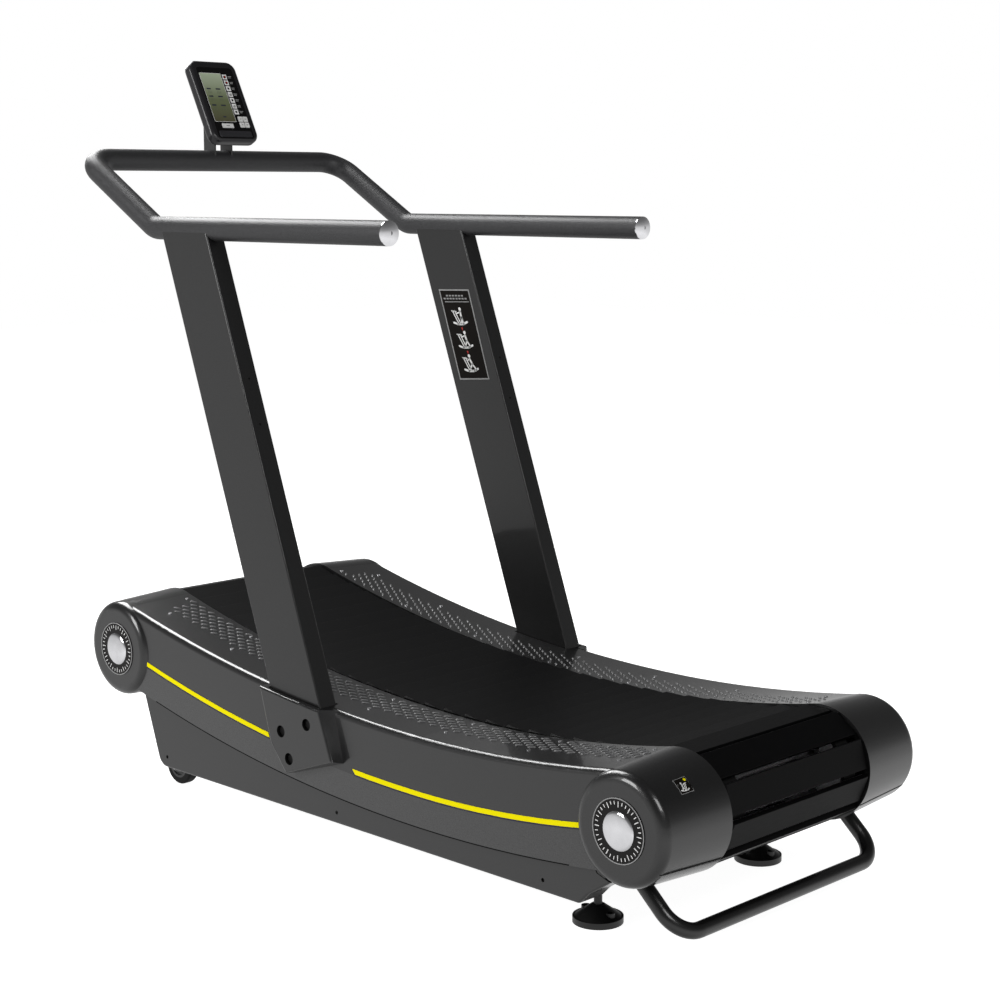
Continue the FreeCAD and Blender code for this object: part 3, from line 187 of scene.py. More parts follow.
MATERIALS = {
    "shell_plastic": finish("shell_plastic", (0.0095, 0.0095, 0.0098), 0.30, specular=0.45,
                            contrast=0.35, bump=0.3, coat=0.6),
    "base_steel": finish("base_steel", (0.022, 0.022, 0.0224), 0.38, specular=0.4, contrast=0.15,
                         bump=0.10, coat=0.45),
    "upright_steel": finish("upright_steel", (0.0095, 0.0095, 0.0097), 0.36, specular=0.35,
                            contrast=0.35, bump=0.16, coat=0.5),
    "lift_steel": finish("lift_steel", (0.006, 0.006, 0.006), 0.30, contrast=0.3, bump=0.08,
                         coat=0.3),
    "handlebar_steel": finish("handlebar_steel", (0.040, 0.040, 0.042), 0.48, metallic=0.30,
                              grain=900.0, contrast=0.7, bump=0.3, spread=0.12),
    "polished": finish("polished", (0.80, 0.80, 0.82), 0.10, metallic=1.0, grain=40.0,
                       contrast=0.05, bump=0.02, spread=0.03),
    "bright_steel": finish("bright_steel", (0.8, 0.8, 0.82), 0.25, metallic=1.0, grain=300.0,
                           contrast=0.15, bump=0.05),
    "black_bolt": finish("black_bolt", (0.003, 0.003, 0.003), 0.5, specular=0.15, grain=300.0,
                         contrast=0.3, bump=0.08),
    "cast_housing": finish("cast_housing", (0.05, 0.05, 0.055), 0.6, grain=250.0, bump=0.4),
    "bar_alloy": finish("bar_alloy", (0.70, 0.70, 0.71), 0.36, metallic=0.9, grain=260.0,
                        contrast=0.12, stretch=(4, 0.2, 4)),
    "tread_rubber": finish("tread_rubber", (0.0022, 0.0022, 0.0024), 0.50, specular=0.09,
                           grain=420.0, contrast=0.3, bump=0.25, stretch=(1, 0.12, 1)),
    "belt_rubber": finish("belt_rubber", (0.006, 0.006, 0.006), 0.6, specular=0.2, bump=0.2),
    "roller_nylon": finish("roller_nylon", (0.5, 0.5, 0.48), 0.4, grain=300.0, contrast=0.06),
    "badge_plastic": finish("badge_plastic", (0.006, 0.005, 0.005), 0.4, specular=0.2,
                            grain=200.0, bump=0.03),
    "wheel_hub": finish("wheel_hub", (0.03, 0.03, 0.031), 0.4, grain=400.0),
    "wheel_tyre": finish("wheel_tyre", (0.004, 0.004, 0.004), 0.6, specular=0.2, grain=500.0, bump=0.2),
    "foot_rubber": finish("foot_rubber", (0.007, 0.007, 0.007), 0.42, grain=500.0, bump=0.15),
    "console_plastic": finish("console_plastic", (0.013, 0.0125, 0.0145), 0.36, specular=0.4,
                              grain=900.0, contrast=0.3, bump=0.06, coat=0.25),
    "console_gloss": finish("console_gloss", (0.003, 0.0027, 0.003), 0.12, specular=0.4,
                            grain=100.0, bump=0.0, spread=0.03),
    "display": finish("display", (0.1, 0.12, 0.07), 0.3, grain=60.0),
    "board": finish("board", (0.01, 0.07, 0.03), 0.5, grain=200.0, contrast=0.4),
    "cell": finish("cell", (0.05, 0.05, 0.06), 0.3, metallic=0.4, grain=120.0),
    "keys": finish("keys", (0.78, 0.78, 0.77), 0.4, grain=500.0, contrast=0.05, bump=0.05),
    "sensor_plastic": finish("sensor_plastic", (0.012, 0.012, 0.012), 0.45, grain=400.0),
    "magnet": finish("magnet", (0.4, 0.4, 0.4), 0.3, metallic=1.0, grain=200.0),
}
STRIPE = finish("stripe_yellow", (1.0, 0.86, 0.0), 0.6, specular=0.05, grain=500.0, contrast=0.03,
                bump=0.04)
STRIPE_EDGE = finish("stripe_edge", (0.006, 0.006, 0.03), 0.5, grain=500.0, contrast=0.2, bump=0.04)
GRIP_DASH = finish("grip_dash", (0.13, 0.13, 0.132), 0.32, grain=500.0, contrast=0.2, bump=0.05)
PRINT_WHITE = finish("print_white", (0.86, 0.86, 0.85), 0.45, grain=400.0, contrast=0.05, bump=0.02)
PRINT_BLACK = finish("print_black", (0.007, 0.0055, 0.0045), 0.6, specular=0.08, grain=300.0,
                     contrast=0.2, bump=0.02)
PRINT_SILVER = finish("print_silver", (0.30, 0.30, 0.30), 0.35, grain=300.0, contrast=0.1, bump=0.02)
PRINT_RED = finish("print_red", (0.5, 0.012, 0.01), 0.45, grain=400.0, contrast=0.1, bump=0.02)
PRINT_BLUE = finish("print_blue", (0.006, 0.007, 0.035), 0.5, grain=400.0, contrast=0.2, bump=0.0)
SEAM = finish("seam_shadow", (0.003, 0.003, 0.003), 0.7, specular=0.1, grain=300.0, bump=0.0)
DISPLAY_GLASS_PAINTED_SHEEN = display_glass_painted_sheen()

# painted light: a paler lower side wall, standing in for light from the bright floor
painted_skirt_light(MATERIALS["shell_plastic"], (0.034, 0.034, 0.0345))

slots = {row["node"]: row["material_slot"] for row in frame["record"]["subparts"]}
for name, obj in frame["nodes"].items():
    obj.data.materials.clear()
    obj.data.materials.append(MATERIALS[slots[name]])


# ---------------------------------------------------------------- mesh helpers
def piece(name, mesh, materials, body, smooth=False):
    """Makes a finished bmesh an object that rides on a CAD body."""
    bmesh.ops.recalc_face_normals(mesh, faces=mesh.faces)
    data = bpy.data.meshes.new(name)
    mesh.to_mesh(data)
    mesh.free()
    for material in materials:
        data.materials.append(material)
    for face in data.polygons:
        face.use_smooth = smooth
    obj = bpy.data.objects.new(name, data)
    bpy.context.scene.collection.objects.link(obj)
    if smooth:
        edges = obj.modifiers.new("edges", "EDGE_SPLIT")
        edges.split_angle = math.radians(40)
    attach(obj, body)


def skin(mesh, rings, material=0, capped=True):
    """Faces between successive closed rings of points, and over both ends."""
    rows = [[mesh.verts.new(p) for p in ring] for ring in rings]
    count = len(rows[0])
    for below, above in zip(rows, rows[1:]):
        for i in range(count):
            j = (i + 1) % count
            mesh.faces.new((below[i], below[j], above[j], above[i])).material_index = material
    if capped:
        for row in (rows[0], rows[-1]):
            mesh.faces.new(row).material_index = material


def raised(mesh, outline, place, low, high, material=0, bevel=0.0):
    """A flat shape carried from depth low to high, its upper rim drawn in by the bevel."""
    centre_u = sum(u for u, _ in outline) / len(outline)
    centre_v = sum(v for _, v in outline) / len(outline)

    def ring(depth, inset):
        points = []
        for u, v in outline:
            away = math.hypot(u - centre_u, v - centre_v) or 1.0
            keep = max(0.0, 1 - inset / away)
            points.append(place(centre_u + (u - centre_u) * keep,
                                centre_v + (v - centre_v) * keep, depth))
        return points

    rings = [ring(low, 0.0)]
    if bevel:
        rings.append(ring(high - bevel, 0.0))
    rings.append(ring(high, bevel))
    skin(mesh, rings, material)


def oblong(u0, u1, v0, v1, radius=0.0, steps=4):
    """A rectangle outline, with rounded corners if a radius is given."""
    if not radius:
        return [(u0, v0), (u1, v0), (u1, v1), (u0, v1)]
    points = []
    corners = [(u1 - radius, v1 - radius), (u0 + radius, v1 - radius),
               (u0 + radius, v0 + radius), (u1 - radius, v0 + radius)]
    for quarter, (u, v) in enumerate(corners):
        for i in range(steps + 1):
            turn = math.radians(90 * (quarter + i / steps))
            points.append((u + radius * math.cos(turn), v + radius * math.sin(turn)))
    return points


def circle(u, v, radius, steps=24):
    return [(u + radius * math.cos(math.tau * i / steps), v + radius * math.sin(math.tau * i / steps))
            for i in range(steps)]


def stroke(a, b, width, steps=5):
    """The outline of a round-ended line from a to b."""
    heading = math.atan2(b[1] - a[1], b[0] - a[0])
    points = []
    for end, start in ((b, -90), (a, 90)):
        for i in range(steps + 1):
            turn = heading + math.radians(start + 180 * i / steps)
            points.append((end[0] + 0.5 * width * math.cos(turn),
                           end[1] + 0.5 * width * math.sin(turn)))
    return points


def runner(mesh, place, size, stride, lean, depth, material, u=0.0, v=0.0):
    """A plain figure on a curved board with a leaning rail, all in round-ended strokes."""
    def at(x, y):
        return u + size * x, v + size * y

    hip, neck = (0.16, -0.02), (0.16 - lean, 0.27)
    board = [(-0.52, -0.33), (-0.22, -0.42), (0.24, -0.41), (0.54, -0.29)]
    lines = [(a, b, 0.12) for a, b in zip(board, board[1:])]
    lines += [((-0.14, -0.40), (-0.44, 0.34), 0.07), ((0.02, -0.40), (-0.26, 0.34), 0.07),
              ((-0.50, 0.34), (-0.16, 0.30), 0.07)]
    lines += [(hip, neck, 0.13), (hip, (0.16 + stride, -0.36), 0.10),
              (hip, (0.16 - stride, -0.34), 0.10), (neck, (-0.12, 0.20), 0.08)]
    for a, b, width in lines:
        raised(mesh, stroke(at(*a), at(*b), width * size), place, depth, depth + 0.0003, material)
    raised(mesh, circle(*at(0.17 - lean, 0.44), 0.1 * size), place, depth, depth + 0.0003, material)


def dome(mesh, place, radius, height, material=0, rings=6, steps=36):
    """A shallow dome about (0, 0), its rim at depth 0."""
    rows = []
    for i in range(rings):
        share = i / rings
        rows.append([place(u, v, height * math.sin(math.pi / 2 * share))
                     for u, v in circle(0, 0, radius * math.cos(math.pi / 2 * share), steps)])
    skin(mesh, rows, material)


# ---------------------------------------------------------------- surfaces to build on
DOWN = Vector((0, 0, -1))
FORWARD = Vector((-1, 0, 0))


def surface_of(node):
    """A CAD node's surface, ready for rays."""
    data = frame["nodes"][node].data
    return BVHTree.FromPolygons([v.co for v in data.vertices], [p.vertices for p in data.polygons])


shells = {name: surface_of("side_shell_" + name) for name in SIDES}


def on_deck(name, dx, y):
    """The deck skin straight below a place: the point and the normal."""
    hit, normal, _, _ = shells[name].ray_cast(Vector((REAR.x + dx, SIDES[name] * y, 1.0)), DOWN)
    if normal.z < 0:
        normal = -normal
    return hit, normal


def on_roll(name, axle, degrees, y, proud):
    """A place on a rolled end, by its angle about the axle, a little proud of the skin."""
    turn = math.radians(degrees)
    outward = Vector((math.cos(turn), 0, math.sin(turn)))
    start = Vector((axle.x, SIDES[name] * y, axle.z)) + outward * 0.3
    hit = shells[name].ray_cast(start, -outward)[0]
    return hit + outward * proud


# ---------------------------------------------------------------- tread pattern on the decks
DASH_ROWS = 7
DASH_PITCH = 0.0333       # along X, within a row
ROW_PITCH = 0.0105
ROW_SHIFT = 0.0153        # each row outwards starts this much further back
DASH_FIRST_Y = 0.229
DASH_FROM, DASH_TO = -1.420, -0.032
DASH_HALF = 0.0086
DASH_WIDE = 0.0026
DASH_RISE = 0.0019
DASH_SLANT = math.radians(-38)
SCREW_CLEAR = 0.0085

screws = frame["nodes"]["deck_screws"].data.vertices
near_screw = KDTree(len(screws))
for i, vertex in enumerate(screws):
    near_screw.insert(vertex.co, i)
near_screw.balance()


def tread_dashes(name):
    """Raised slanting dashes in staggered rows, so that a foot on the side deck doesn't slip."""
    mesh = bmesh.new()
    side = SIDES[name]
    for row in range(DASH_ROWS):
        y = DASH_FIRST_Y + ROW_PITCH * row
        dx = DASH_FROM + (ROW_SHIFT * row) % DASH_PITCH
        while dx < DASH_TO:
            point, normal = on_deck(name, dx, y)
            dx += DASH_PITCH
            if near_screw.find(point)[2] < SCREW_CLEAR:
                continue
            along = Vector((math.cos(DASH_SLANT), side * math.sin(DASH_SLANT), 0))
            along = (along - normal * along.dot(normal)).normalized()
            across = normal.cross(along)
            rings = []
            for depth, share in ((-0.0004, 1.0), (0.6 * DASH_RISE, 0.88), (0.93 * DASH_RISE, 0.62),
                                 (DASH_RISE, 0.30)):
                rings.append([point + normal * depth + along * (DASH_HALF * share * u)
                              + across * (DASH_WIDE * share * v) for u, v in circle(0, 0, 1, 12)])
            skin(mesh, rings)
    piece("tread_dashes_" + name, mesh, [GRIP_DASH], "frame", smooth=True)


# ---------------------------------------------------------------- stripes on the side walls
STRIPE_TOP = -0.107       # from the deck's inner edge down to the stripe
STRIPE_LOW = -0.1168
STRIPE_BORDER = 0.0034
STRIPE_RUNS = [(-1.402, -1.402, -0.975, -0.971), (-0.711, -0.702, -0.101, -0.101)]


def wall_band(mesh, name, run, top, low, proud, material, steps=90):
    """A band on the side wall that follows the deck at two depths below it."""
    side = SIDES[name]
    start_top, start_low, end_top, end_low = run
    rings = []
    for i in range(steps + 1):
        share = i / steps
        ring = []
        for drop, dx in ((top, start_top + (end_top - start_top) * share),
                         (low, start_low + (end_low - start_low) * share)):
            height = on_deck(name, dx, 0.222)[0].z + drop
            ring.append(Vector((REAR.x + dx, side * (WALL_Y + proud), height)))
            ring.append(Vector((REAR.x + dx, side * (WALL_Y - 0.001), height)))
        rings.append([ring[0], ring[1], ring[3], ring[2]])
    skin(mesh, rings, material)


def wall_stripes(name):
    mesh = bmesh.new()
    for run in STRIPE_RUNS:
        wall_band(mesh, name, run, STRIPE_TOP, STRIPE_LOW, 0.0008, 0)
        edge = (run[0] - 0.003, run[1] - 0.003, run[2], run[3])
        wall_band(mesh, name, edge, STRIPE_TOP, STRIPE_LOW - STRIPE_BORDER, 0.0004, 1)
    piece("wall_stripes_" + name, mesh, [STRIPE, STRIPE_EDGE], "frame")


# ---------------------------------------------------------------- end badges
DOME_R = 0.036
DOME_RISE = 0.0055
RIM_R = 0.0585
TICKS = 36
TICK_OUT, TICK_IN, LONG_TICK_IN = 0.053, 0.048, 0.044


def badge(name, end, axle):
    """A silver dome in a black ring with a plain ring of tick marks."""
    side = SIDES[name]

    def place(u, v, depth):
        return Vector((axle.x + u, side * (DISC_Y + depth), axle.z + v))

    mesh = bmesh.new()
    for i in range(TICKS):
        turn = math.tau * i / TICKS
        inner = LONG_TICK_IN if i % 3 == 0 else TICK_IN
        a = inner * math.cos(turn), inner * math.sin(turn)
        b = TICK_OUT * math.cos(turn), TICK_OUT * math.sin(turn)
        raised(mesh, stroke(a, b, 0.0016), place, -0.0002, 0.0003, 0)
    piece("badge_ticks_%s_%s" % (end, name), mesh, [PRINT_WHITE], "frame")

    mesh = bmesh.new()
    steps, tube_steps = 72, 8
    rows = []
    for i in range(steps):
        turn = math.tau * i / steps
        row = []
        for u, v in circle(0, 0, 1, tube_steps):
            reach = RIM_R + 0.0011 * u
            row.append(mesh.verts.new(place(reach * math.cos(turn), reach * math.sin(turn),
                                            0.0008 * v)))
        rows.append(row)
    for i in range(steps):
        ahead = rows[(i + 1) % steps]
        for k in range(tube_steps):
            m = (k + 1) % tube_steps
            mesh.faces.new((rows[i][k], ahead[k], ahead[m], rows[i][m]))
    piece("badge_rim_%s_%s" % (end, name), mesh, [PRINT_SILVER], "frame", smooth=True)

    mesh = bmesh.new()
    dome(mesh, place, DOME_R, DOME_RISE)
    piece("badge_dome_%s_%s" % (end, name), mesh, [MATERIALS["polished"]], "frame",
          smooth=True)


# ---------------------------------------------------------------- plate on the far upright
PLATE_CORNERS = [(-1.208, 1.114), (-1.108, 1.117), (-1.137, 0.906), (-1.040, 0.913)]
PLATE_W, PLATE_H = 0.100, 0.216


def upright_plate():
    """A black plate with a silver border and three plain figures, one for each way of training."""
    (ax, az), (bx, bz), (cx, cz), (ex, ez) = PLATE_CORNERS

    def place(u, v, depth):
        s, t = u / PLATE_W, -v / PLATE_H
        x = (1 - t) * ((1 - s) * ax + s * bx) + t * ((1 - s) * cx + s * ex)
        z = (1 - t) * ((1 - s) * az + s * bz) + t * ((1 - s) * cz + s * ez)
        return Vector((REAR.x + x, INNER_UPRIGHT_Y - depth, z))

    mesh = bmesh.new()
    raised(mesh, oblong(0, PLATE_W, -PLATE_H, 0), place, -0.0002, 0.0004, 1)
    raised(mesh, oblong(0.0035, PLATE_W - 0.0035, -PLATE_H + 0.0035, -0.0035), place, 0.0002,
           0.0006, 0)
    raised(mesh, oblong(0.012, PLATE_W - 0.008, -0.031, -0.029), place, 0.0005, 0.0008, 1)
    for level, reach in ((-0.0135, 0.030), (-0.0205, 0.040)):
        for i in range(int(reach / 0.005)):
            left = PLATE_W / 2 - reach + 0.01 * i
            raised(mesh, oblong(left, left + 0.0068, level - 0.0036, level), place, 0.0005, 0.0008, 1)
    for i, (stride, lean) in enumerate(((0.06, 0.0), (0.18, 0.05), (0.26, 0.12))):
        runner(mesh, place, 0.042, stride, lean, 0.0005, 2, 0.048, -0.066 - 0.056 * i)
    for level in (-0.0915, -0.1475):
        arrow = [(0.046, level), (0.0515, level), (0.049, level - 0.008)]
        raised(mesh, arrow, place, 0.0005, 0.0009, 3)
    piece("upright_plate", mesh, [PRINT_BLACK, PRINT_SILVER, PRINT_WHITE, PRINT_RED],
          "frame")


PLUG_HEIGHTS = (0.963, 0.872)
PLUG_R, PLUG_RISE = 0.0028, 0.0010


def upright_plugs():
    """Small plastic plugs down the middle of the rear face of each upright."""
    mesh = bmesh.new()
    across = Vector((0, 1, 0))
    for name in SIDES:
        post = surface_of("upright_" + name)
        for height in PLUG_HEIGHTS:
            start = Vector((REAR.x, middle("upright_" + name).y, height))
            hit, normal, _, _ = post.ray_cast(start, FORWARD)
            if normal.x < 0:
                normal = -normal
            rise = normal.cross(across)

            def place(u, v, depth):
                return hit + across * u + rise * v + normal * depth

            dome(mesh, place, PLUG_R, PLUG_RISE, rings=4, steps=16)
    piece("upright_plugs", mesh, [MATERIALS["black_bolt"]], "frame",
          smooth=True)


# ---------------------------------------------------------------- console face
press = next(j for j in frame["joints"] if j["name"] == "button_mode_press")
FACE_NORMAL = -Vector(press["axis"])
FACE_UP = Vector((-FACE_NORMAL.z, 0, FACE_NORMAL.x))
FACE_CENTRE = middle("console_lens") + FACE_NORMAL * 0.0009
LCD = (-0.0467, 0.0133, -0.0487, 0.0763)   # u0, u1, v0, v1 on the console's face
ICON_U, ICON_FIRST, ICON_PITCH, ICON_HALF = 0.0235, 0.0683, 0.0152, 0.0062


def on_face(u, v, depth):
    return FACE_CENTRE + Vector((0, u, 0)) + FACE_UP * v + FACE_NORMAL * depth


def lcd_point(s, t):
    """A place on the display, by its shares of the width and of the height from the top."""
    return LCD[0] + s * (LCD[1] - LCD[0]), LCD[3] - t * (LCD[3] - LCD[2])


def console_display():
    mesh = bmesh.new()
    raised(mesh, oblong(LCD[0], LCD[1], LCD[2], LCD[3]), on_face, -0.0004, 0.0001, 0)
    piece("display_window", mesh, [DISPLAY_GLASS_PAINTED_SHEEN], "console")

    mesh = bmesh.new()
    line = 0.0007
    u0, u1, v0, v1 = LCD[0] - line, LCD[1] + line, LCD[2] - line, LCD[3] + line
    for outline in (oblong(u0, u1, v1 - line, v1), oblong(u0, u1, v0, v0 + line),
                    oblong(u0, u0 + line, v0, v1), oblong(u1 - line, u1, v0, v1)):
        raised(mesh, outline, on_face, -0.0003, 0.00025, 0)
    piece("display_border", mesh, [PRINT_WHITE], "console")

    mesh = bmesh.new()
    for t in (0.31, 0.466, 0.65):
        for s0, s1 in ((0.11, 0.31), (0.54, 0.765)):
            u, v = lcd_point(s0, t)
            wide = (s1 - s0) * (LCD[1] - LCD[0])
            raised(mesh, oblong(u, u + wide, v - 0.0034, v), on_face, 0.0, 0.0002, 0)
            for k in range(3):
                left = u + 0.002 + 0.0042 * k
                for low in (-0.0150, -0.0105):
                    raised(mesh, oblong(left, left + 0.0009, v + low, v + low + 0.0036), on_face,
                           0.0, 0.00016, 1)
                raised(mesh, oblong(left, left + 0.0028, v - 0.0112, v - 0.0105), on_face, 0.0,
                       0.00016, 1)
    u, v = lcd_point(0.46, 0.89)
    raised(mesh, oblong(u, u + 0.0085, v - 0.003, v), on_face, 0.0, 0.0002, 0)
    piece("display_segments", mesh, [PRINT_BLUE, MATERIALS["display"]], "console")


def console_icons():
    """A column of small white squares, each with its own plain shape and two lines beside it."""
    mesh = bmesh.new()
    top = 0.0003
    for i in range(7):
        v = ICON_FIRST - ICON_PITCH * i
        h = ICON_HALF
        raised(mesh, oblong(ICON_U - h, ICON_U + h, v - h, v + h), on_face, -0.0002, top, 0)
        if i < 2:
            raised(mesh, circle(ICON_U, v, 0.0037), on_face, top, top + 0.0001, 1)
            raised(mesh, circle(ICON_U + 0.0008, v + 0.0006, 0.0018), on_face, top, top + 0.0002, 2)
        elif i % 2 == 0:
            raised(mesh, oblong(ICON_U - 0.0026, ICON_U + 0.0026, v - 0.0026, v + 0.0026), on_face,
                   top, top + 0.0001, 1)
        else:
            for k in (-1, 0, 1):
                ends = (ICON_U - 0.0034, v - 0.002 + 0.002 * k), (ICON_U + 0.0034, v + 0.002 * k)
                raised(mesh, stroke(*ends, 0.0009), on_face, top, top + 0.0001, 1)
        for k, wide in enumerate((0.0105 - 0.001 * (i % 3), 0.0075 + 0.001 * (i % 2))):
            low = v + 0.0008 - 0.0034 * k
            raised(mesh, oblong(0.0332, 0.0332 + wide, low, low + 0.0018), on_face, -0.0002, top, 3)
    piece("console_icons", mesh, [PRINT_WHITE, PRINT_BLACK, PRINT_RED, PRINT_SILVER], "console")


def console_ledge():
    """A smooth raised bar along the bottom of the window."""
    mesh = bmesh.new()
    raised(mesh, oblong(-0.0465, 0.0465, -0.0890, -0.0735, 0.0035), on_face, -0.0002, 0.0022, 0,
           bevel=0.0012)
    ledge = finish("ledge_gloss", (0.030, 0.030, 0.034), 0.2, grain=300.0, bump=0.02, coat=0.3)
    piece("console_ledge", mesh, [ledge], "console")


def key_marks():
    """Plain dashes on the keys, riding with each key."""
    for name, mark in (("mode", 0.010), ("reset", 0.004), ("set", 0.0055), ("up", 0.004),
                       ("down", 0.005)):
        reach = middle("key_" + name) - FACE_CENTRE
        u, v = reach.y, reach.dot(FACE_UP)
        top = 0.0018
        mesh = bmesh.new()
        raised(mesh, oblong(u - mark / 2, u + mark / 2, v - 0.001, v + 0.001), on_face, top - 0.0003,
               top + 0.0001, 0)
        piece("key_mark_" + name, mesh, [PRINT_SILVER], "button_" + name)


# ---------------------------------------------------------------- small details on the shells
SEAM_FROM, SEAM_TO = 0.213, 0.372          # across the machine
SEAM_TOP, SEAM_LOW = -35.8, -37.2          # degrees about the rear axle
LABEL_TURN, LABEL_Y, LABEL_R = 47.0, 0.300, 0.111
LABEL_HALF = 0.0155
HEM_FROM, HEM_TO = -1.370, -0.125
HEM_HIGH = 0.0022


def roll_seams():
    """The shadow line under each rear roll where the upper and lower mouldings meet."""
    for name in SIDES:
        mesh = bmesh.new()
        rings = []
        for i in range(25):
            y = SEAM_FROM + (SEAM_TO - SEAM_FROM) * i / 24
            rings.append([on_roll(name, REAR, turn, y, proud) for turn, proud in
                          ((SEAM_TOP, -0.0006), (SEAM_TOP, 0.0005), (SEAM_LOW, 0.0005),
                           (SEAM_LOW, -0.0006))])
        skin(mesh, rings)
        piece("roll_seam_" + name, mesh, [SEAM], "frame")


def roll_label():
    """A small dark label with a plain stepping figure, on top of the near rear roll."""
    def place(u, v, depth):
        turn = LABEL_TURN + math.degrees(v / LABEL_R)
        return on_roll("left", REAR, turn, LABEL_Y + u, 0.0002 + depth)

    mesh = bmesh.new()
    count = 6
    for level, size, material in ((0.0, LABEL_HALF, 1), (0.0003, LABEL_HALF - 0.001, 0)):
        edge = []
        for a, b in (((-1, -1), (1, -1)), ((1, -1), (1, 1)), ((1, 1), (-1, 1)), ((-1, 1), (-1, -1))):
            edge += [(size * (a[0] + (b[0] - a[0]) * i / count),
                      size * (a[1] + (b[1] - a[1]) * i / count)) for i in range(count)]
        raised(mesh, edge, place, level - 0.0006, level + 0.0003, material)
    runner(mesh, place, 0.018, 0.18, 0.05, 0.0006, 2, 0.002, -0.003)
    raised(mesh, circle(-0.0095, 0.0095, 0.0028), place, 0.0006, 0.0008, 3)
    piece("roll_label", mesh, [PRINT_BLACK, PRINT_SILVER, PRINT_WHITE, STRIPE], "frame")


def wall_hems():
    """A dark band of painted shade along the joint under each side wall, where it meets the lower cover."""
    for name, side in SIDES.items():
        mesh = bmesh.new()
        rings = []
        for i in range(81):
            dx = HEM_FROM + (HEM_TO - HEM_FROM) * i / 80
            start = Vector((REAR.x + dx, side * (WALL_Y - 0.001), -0.5))
            edge = shells[name].ray_cast(start, -DOWN)[0].z
            rings.append([Vector((REAR.x + dx, side * y, z)) for y, z in
                          ((WALL_Y + 0.0003, edge + 0.0002), (WALL_Y + 0.0003, edge + HEM_HIGH),
                           (WALL_Y - 0.001, edge + HEM_HIGH), (WALL_Y - 0.001, edge + 0.0002))])
        skin(mesh, rings)
        piece("wall_hem_" + name, mesh, [SEAM], "frame")


COVER_SCREWS = [(-1.345, 0.100), (-0.770, 0.102), (-0.197, 0.104)]
COVER_Y = 0.3632          # the screw heads sit inside the holes of the covers
COVER_SCREW_R = 0.0037


def cover_screws():
    """Black socket screws sunk in the holes of the lower covers."""
    mesh = bmesh.new()
    for side in SIDES.values():
        for dx, z in COVER_SCREWS:
            def place(u, v, depth):
                return Vector((REAR.x + dx + u, side * (COVER_Y + depth), z + v))

            raised(mesh, circle(0, 0, COVER_SCREW_R, 20), place, -0.006, 0.0, 0, bevel=0.0005)
            raised(mesh, circle(0, 0, 0.0018, 6), place, -0.0005, 0.0002, 1)
    piece("cover_screws", mesh, [MATERIALS["black_bolt"], PRINT_BLACK], "frame")


# ---------------------------------------------------------------- camera, light and floor
CAMERA_AT = Vector((2.1842, -2.8876, 1.3485))   # from the point on the floor under the rear axle
CAMERA_TURN = (math.radians(81.0799), 0.0, math.radians(44.6454))
CAMERA_LENS = 71.575
FLOOR_REACH = 14.0


def camera():
    data = bpy.data.cameras.new("camera")
    data.lens = CAMERA_LENS
    data.sensor_width = 36.0
    data.clip_end = 60.0
    obj = bpy.data.objects.new("camera", data)
    obj.location = Vector((REAR.x, 0, 0)) + CAMERA_AT
    obj.rotation_euler = CAMERA_TURN
    bpy.context.scene.collection.objects.link(obj)
    bpy.context.scene.camera = obj


def area_light(name, place, target, size, power, along=(0, 0, 1)):
    """A soft light: its long side runs as near as it can to the direction along."""
    data = bpy.data.lights.new(name, "AREA")
    data.shape = "RECTANGLE"
    data.size, data.size_y = size
    data.energy = power
    obj = bpy.data.objects.new(name, data)
    back = (Vector(place) - Vector(target)).normalized()
    long_side = (Vector(along) - back * back.dot(Vector(along))).normalized()
    turn = Matrix((long_side, back.cross(long_side), back)).transposed().to_4x4()
    obj.matrix_world = Matrix.Translation(place) @ turn
    bpy.context.scene.collection.objects.link(obj)


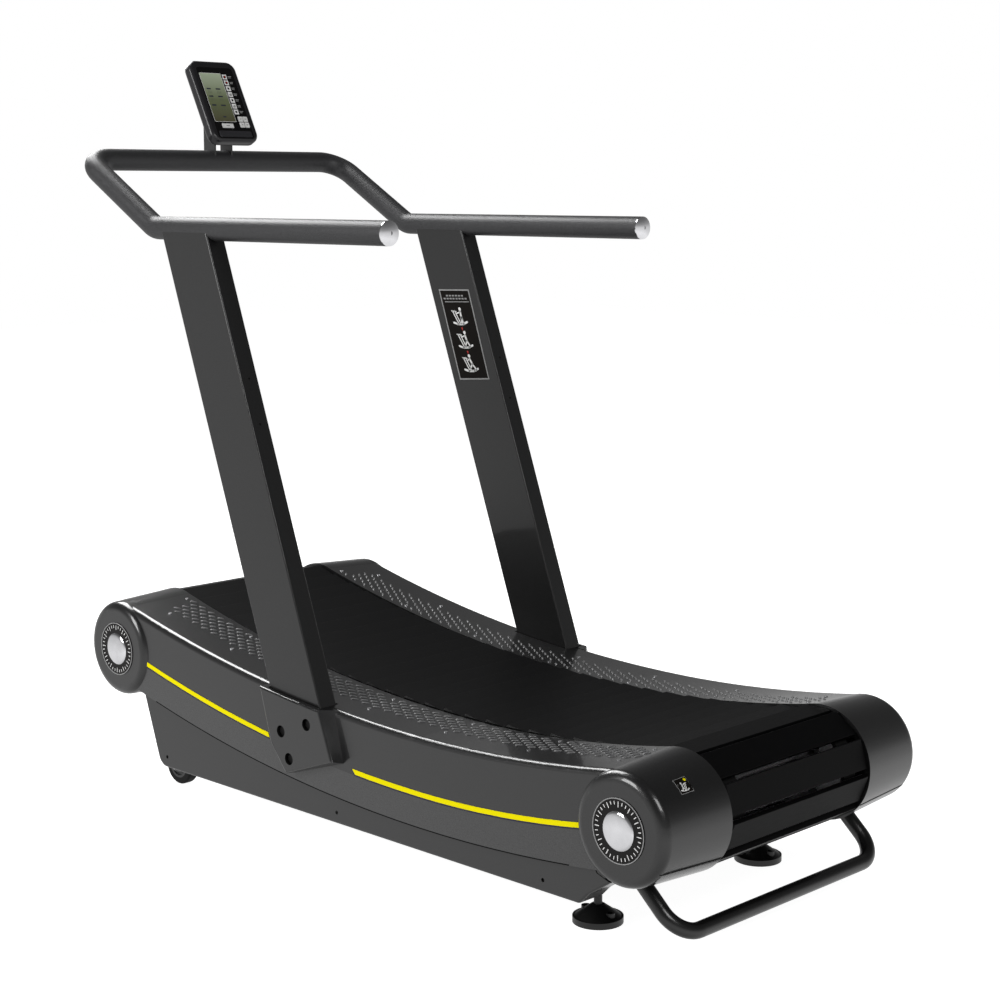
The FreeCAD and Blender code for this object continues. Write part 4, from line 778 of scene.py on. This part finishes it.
def studio():
    """A white surround, with a softer light of its own: bright round the horizon, dim overhead."""
    world = bpy.data.worlds.new("studio")
    world.use_nodes = True
    nodes, links = world.node_tree.nodes, world.node_tree.links
    background = nodes["Background"]
    place = nodes.new("ShaderNodeTexCoord")
    split = nodes.new("ShaderNodeSeparateXYZ")
    links.new(place.outputs["Generated"], split.inputs["Vector"])
    rise = nodes.new("ShaderNodeMapRange")
    rise.inputs["From Min"].default_value = -1.0
    links.new(split.outputs["Z"], rise.inputs["Value"])
    height = ramp_node(nodes, [(0.0, grey(0.60)), (0.22, grey(0.95)), (0.36, grey(1.05)),
                               (0.44, grey(0.85)), (0.50, grey(0.72)), (0.57, grey(0.34)),
                               (0.65, grey(0.19)), (0.78, grey(0.10)), (1.0, grey(0.08))])
    links.new(rise.outputs["Result"], height.inputs["Fac"])
    across = nodes.new("ShaderNodeMapRange")
    across.inputs["From Min"].default_value = -1.0
    across.inputs["To Min"].default_value = 0.78
    across.inputs["To Max"].default_value = 0.95
    links.new(split.outputs["X"], across.inputs["Value"])
    light = nodes.new("ShaderNodeVectorMath")
    light.operation = "SCALE"
    links.new(height.outputs["Color"], light.inputs[0])
    links.new(across.outputs["Result"], light.inputs["Scale"])
    seen = nodes.new("ShaderNodeLightPath")
    pick = nodes.new("ShaderNodeMix")
    pick.data_type = "RGBA"
    pick.inputs["B"].default_value = grey(1.0)
    links.new(seen.outputs["Is Camera Ray"], pick.inputs["Factor"])
    links.new(light.outputs["Vector"], pick.inputs["A"])
    links.new(pick.outputs["Result"], background.inputs["Color"])
    bpy.context.scene.world = world
    area_light("front", (-2.9, 0.2, 3.4), (0, 0, 0.6), (3.0, 1.5), 150.0, (0.62, -0.48, 0.62))
    area_light("side", (-1.4, -4.2, 2.4), (0, 0, 0.6), (2.0, 1.6), 110.0)
    area_light("rear", (3.6, -1.2, 3.2), (-0.4, 0, 0.9), (1.6, 1.6), 55.0)

    mesh = bmesh.new()
    mesh.faces.new([mesh.verts.new((x, y, 0.0)) for x, y in
                    oblong(-FLOOR_REACH, FLOOR_REACH, -FLOOR_REACH, FLOOR_REACH)])
    data = bpy.data.meshes.new("studio_floor")
    mesh.to_mesh(data)
    mesh.free()
    paint = finish("floor_white", (0.55, 0.55, 0.55), 0.9, specular=0.0, grain=3.0, contrast=0.01,
                   bump=0.0)
    shader = paint.node_tree.nodes["Principled BSDF"]
    shader.inputs["Emission Color"].default_value = grey(1.0)
    shader.inputs["Emission Strength"].default_value = 0.96
    data.materials.append(paint)
    floor = bpy.data.objects.new("studio_floor", data)
    floor.visible_diffuse = False
    floor.visible_glossy = False
    bpy.context.scene.collection.objects.link(floor)
    bpy.context.scene.view_settings.view_transform = "Standard"


camera()
studio()
for side_name in SIDES:
    tread_dashes(side_name)
    wall_stripes(side_name)
    badge(side_name, "front", FRONT)
    badge(side_name, "rear", REAR)
upright_plate()
upright_plugs()
console_display()
console_icons()
console_ledge()
key_marks()
roll_seams()
roll_label()
wall_hems()
cover_screws()
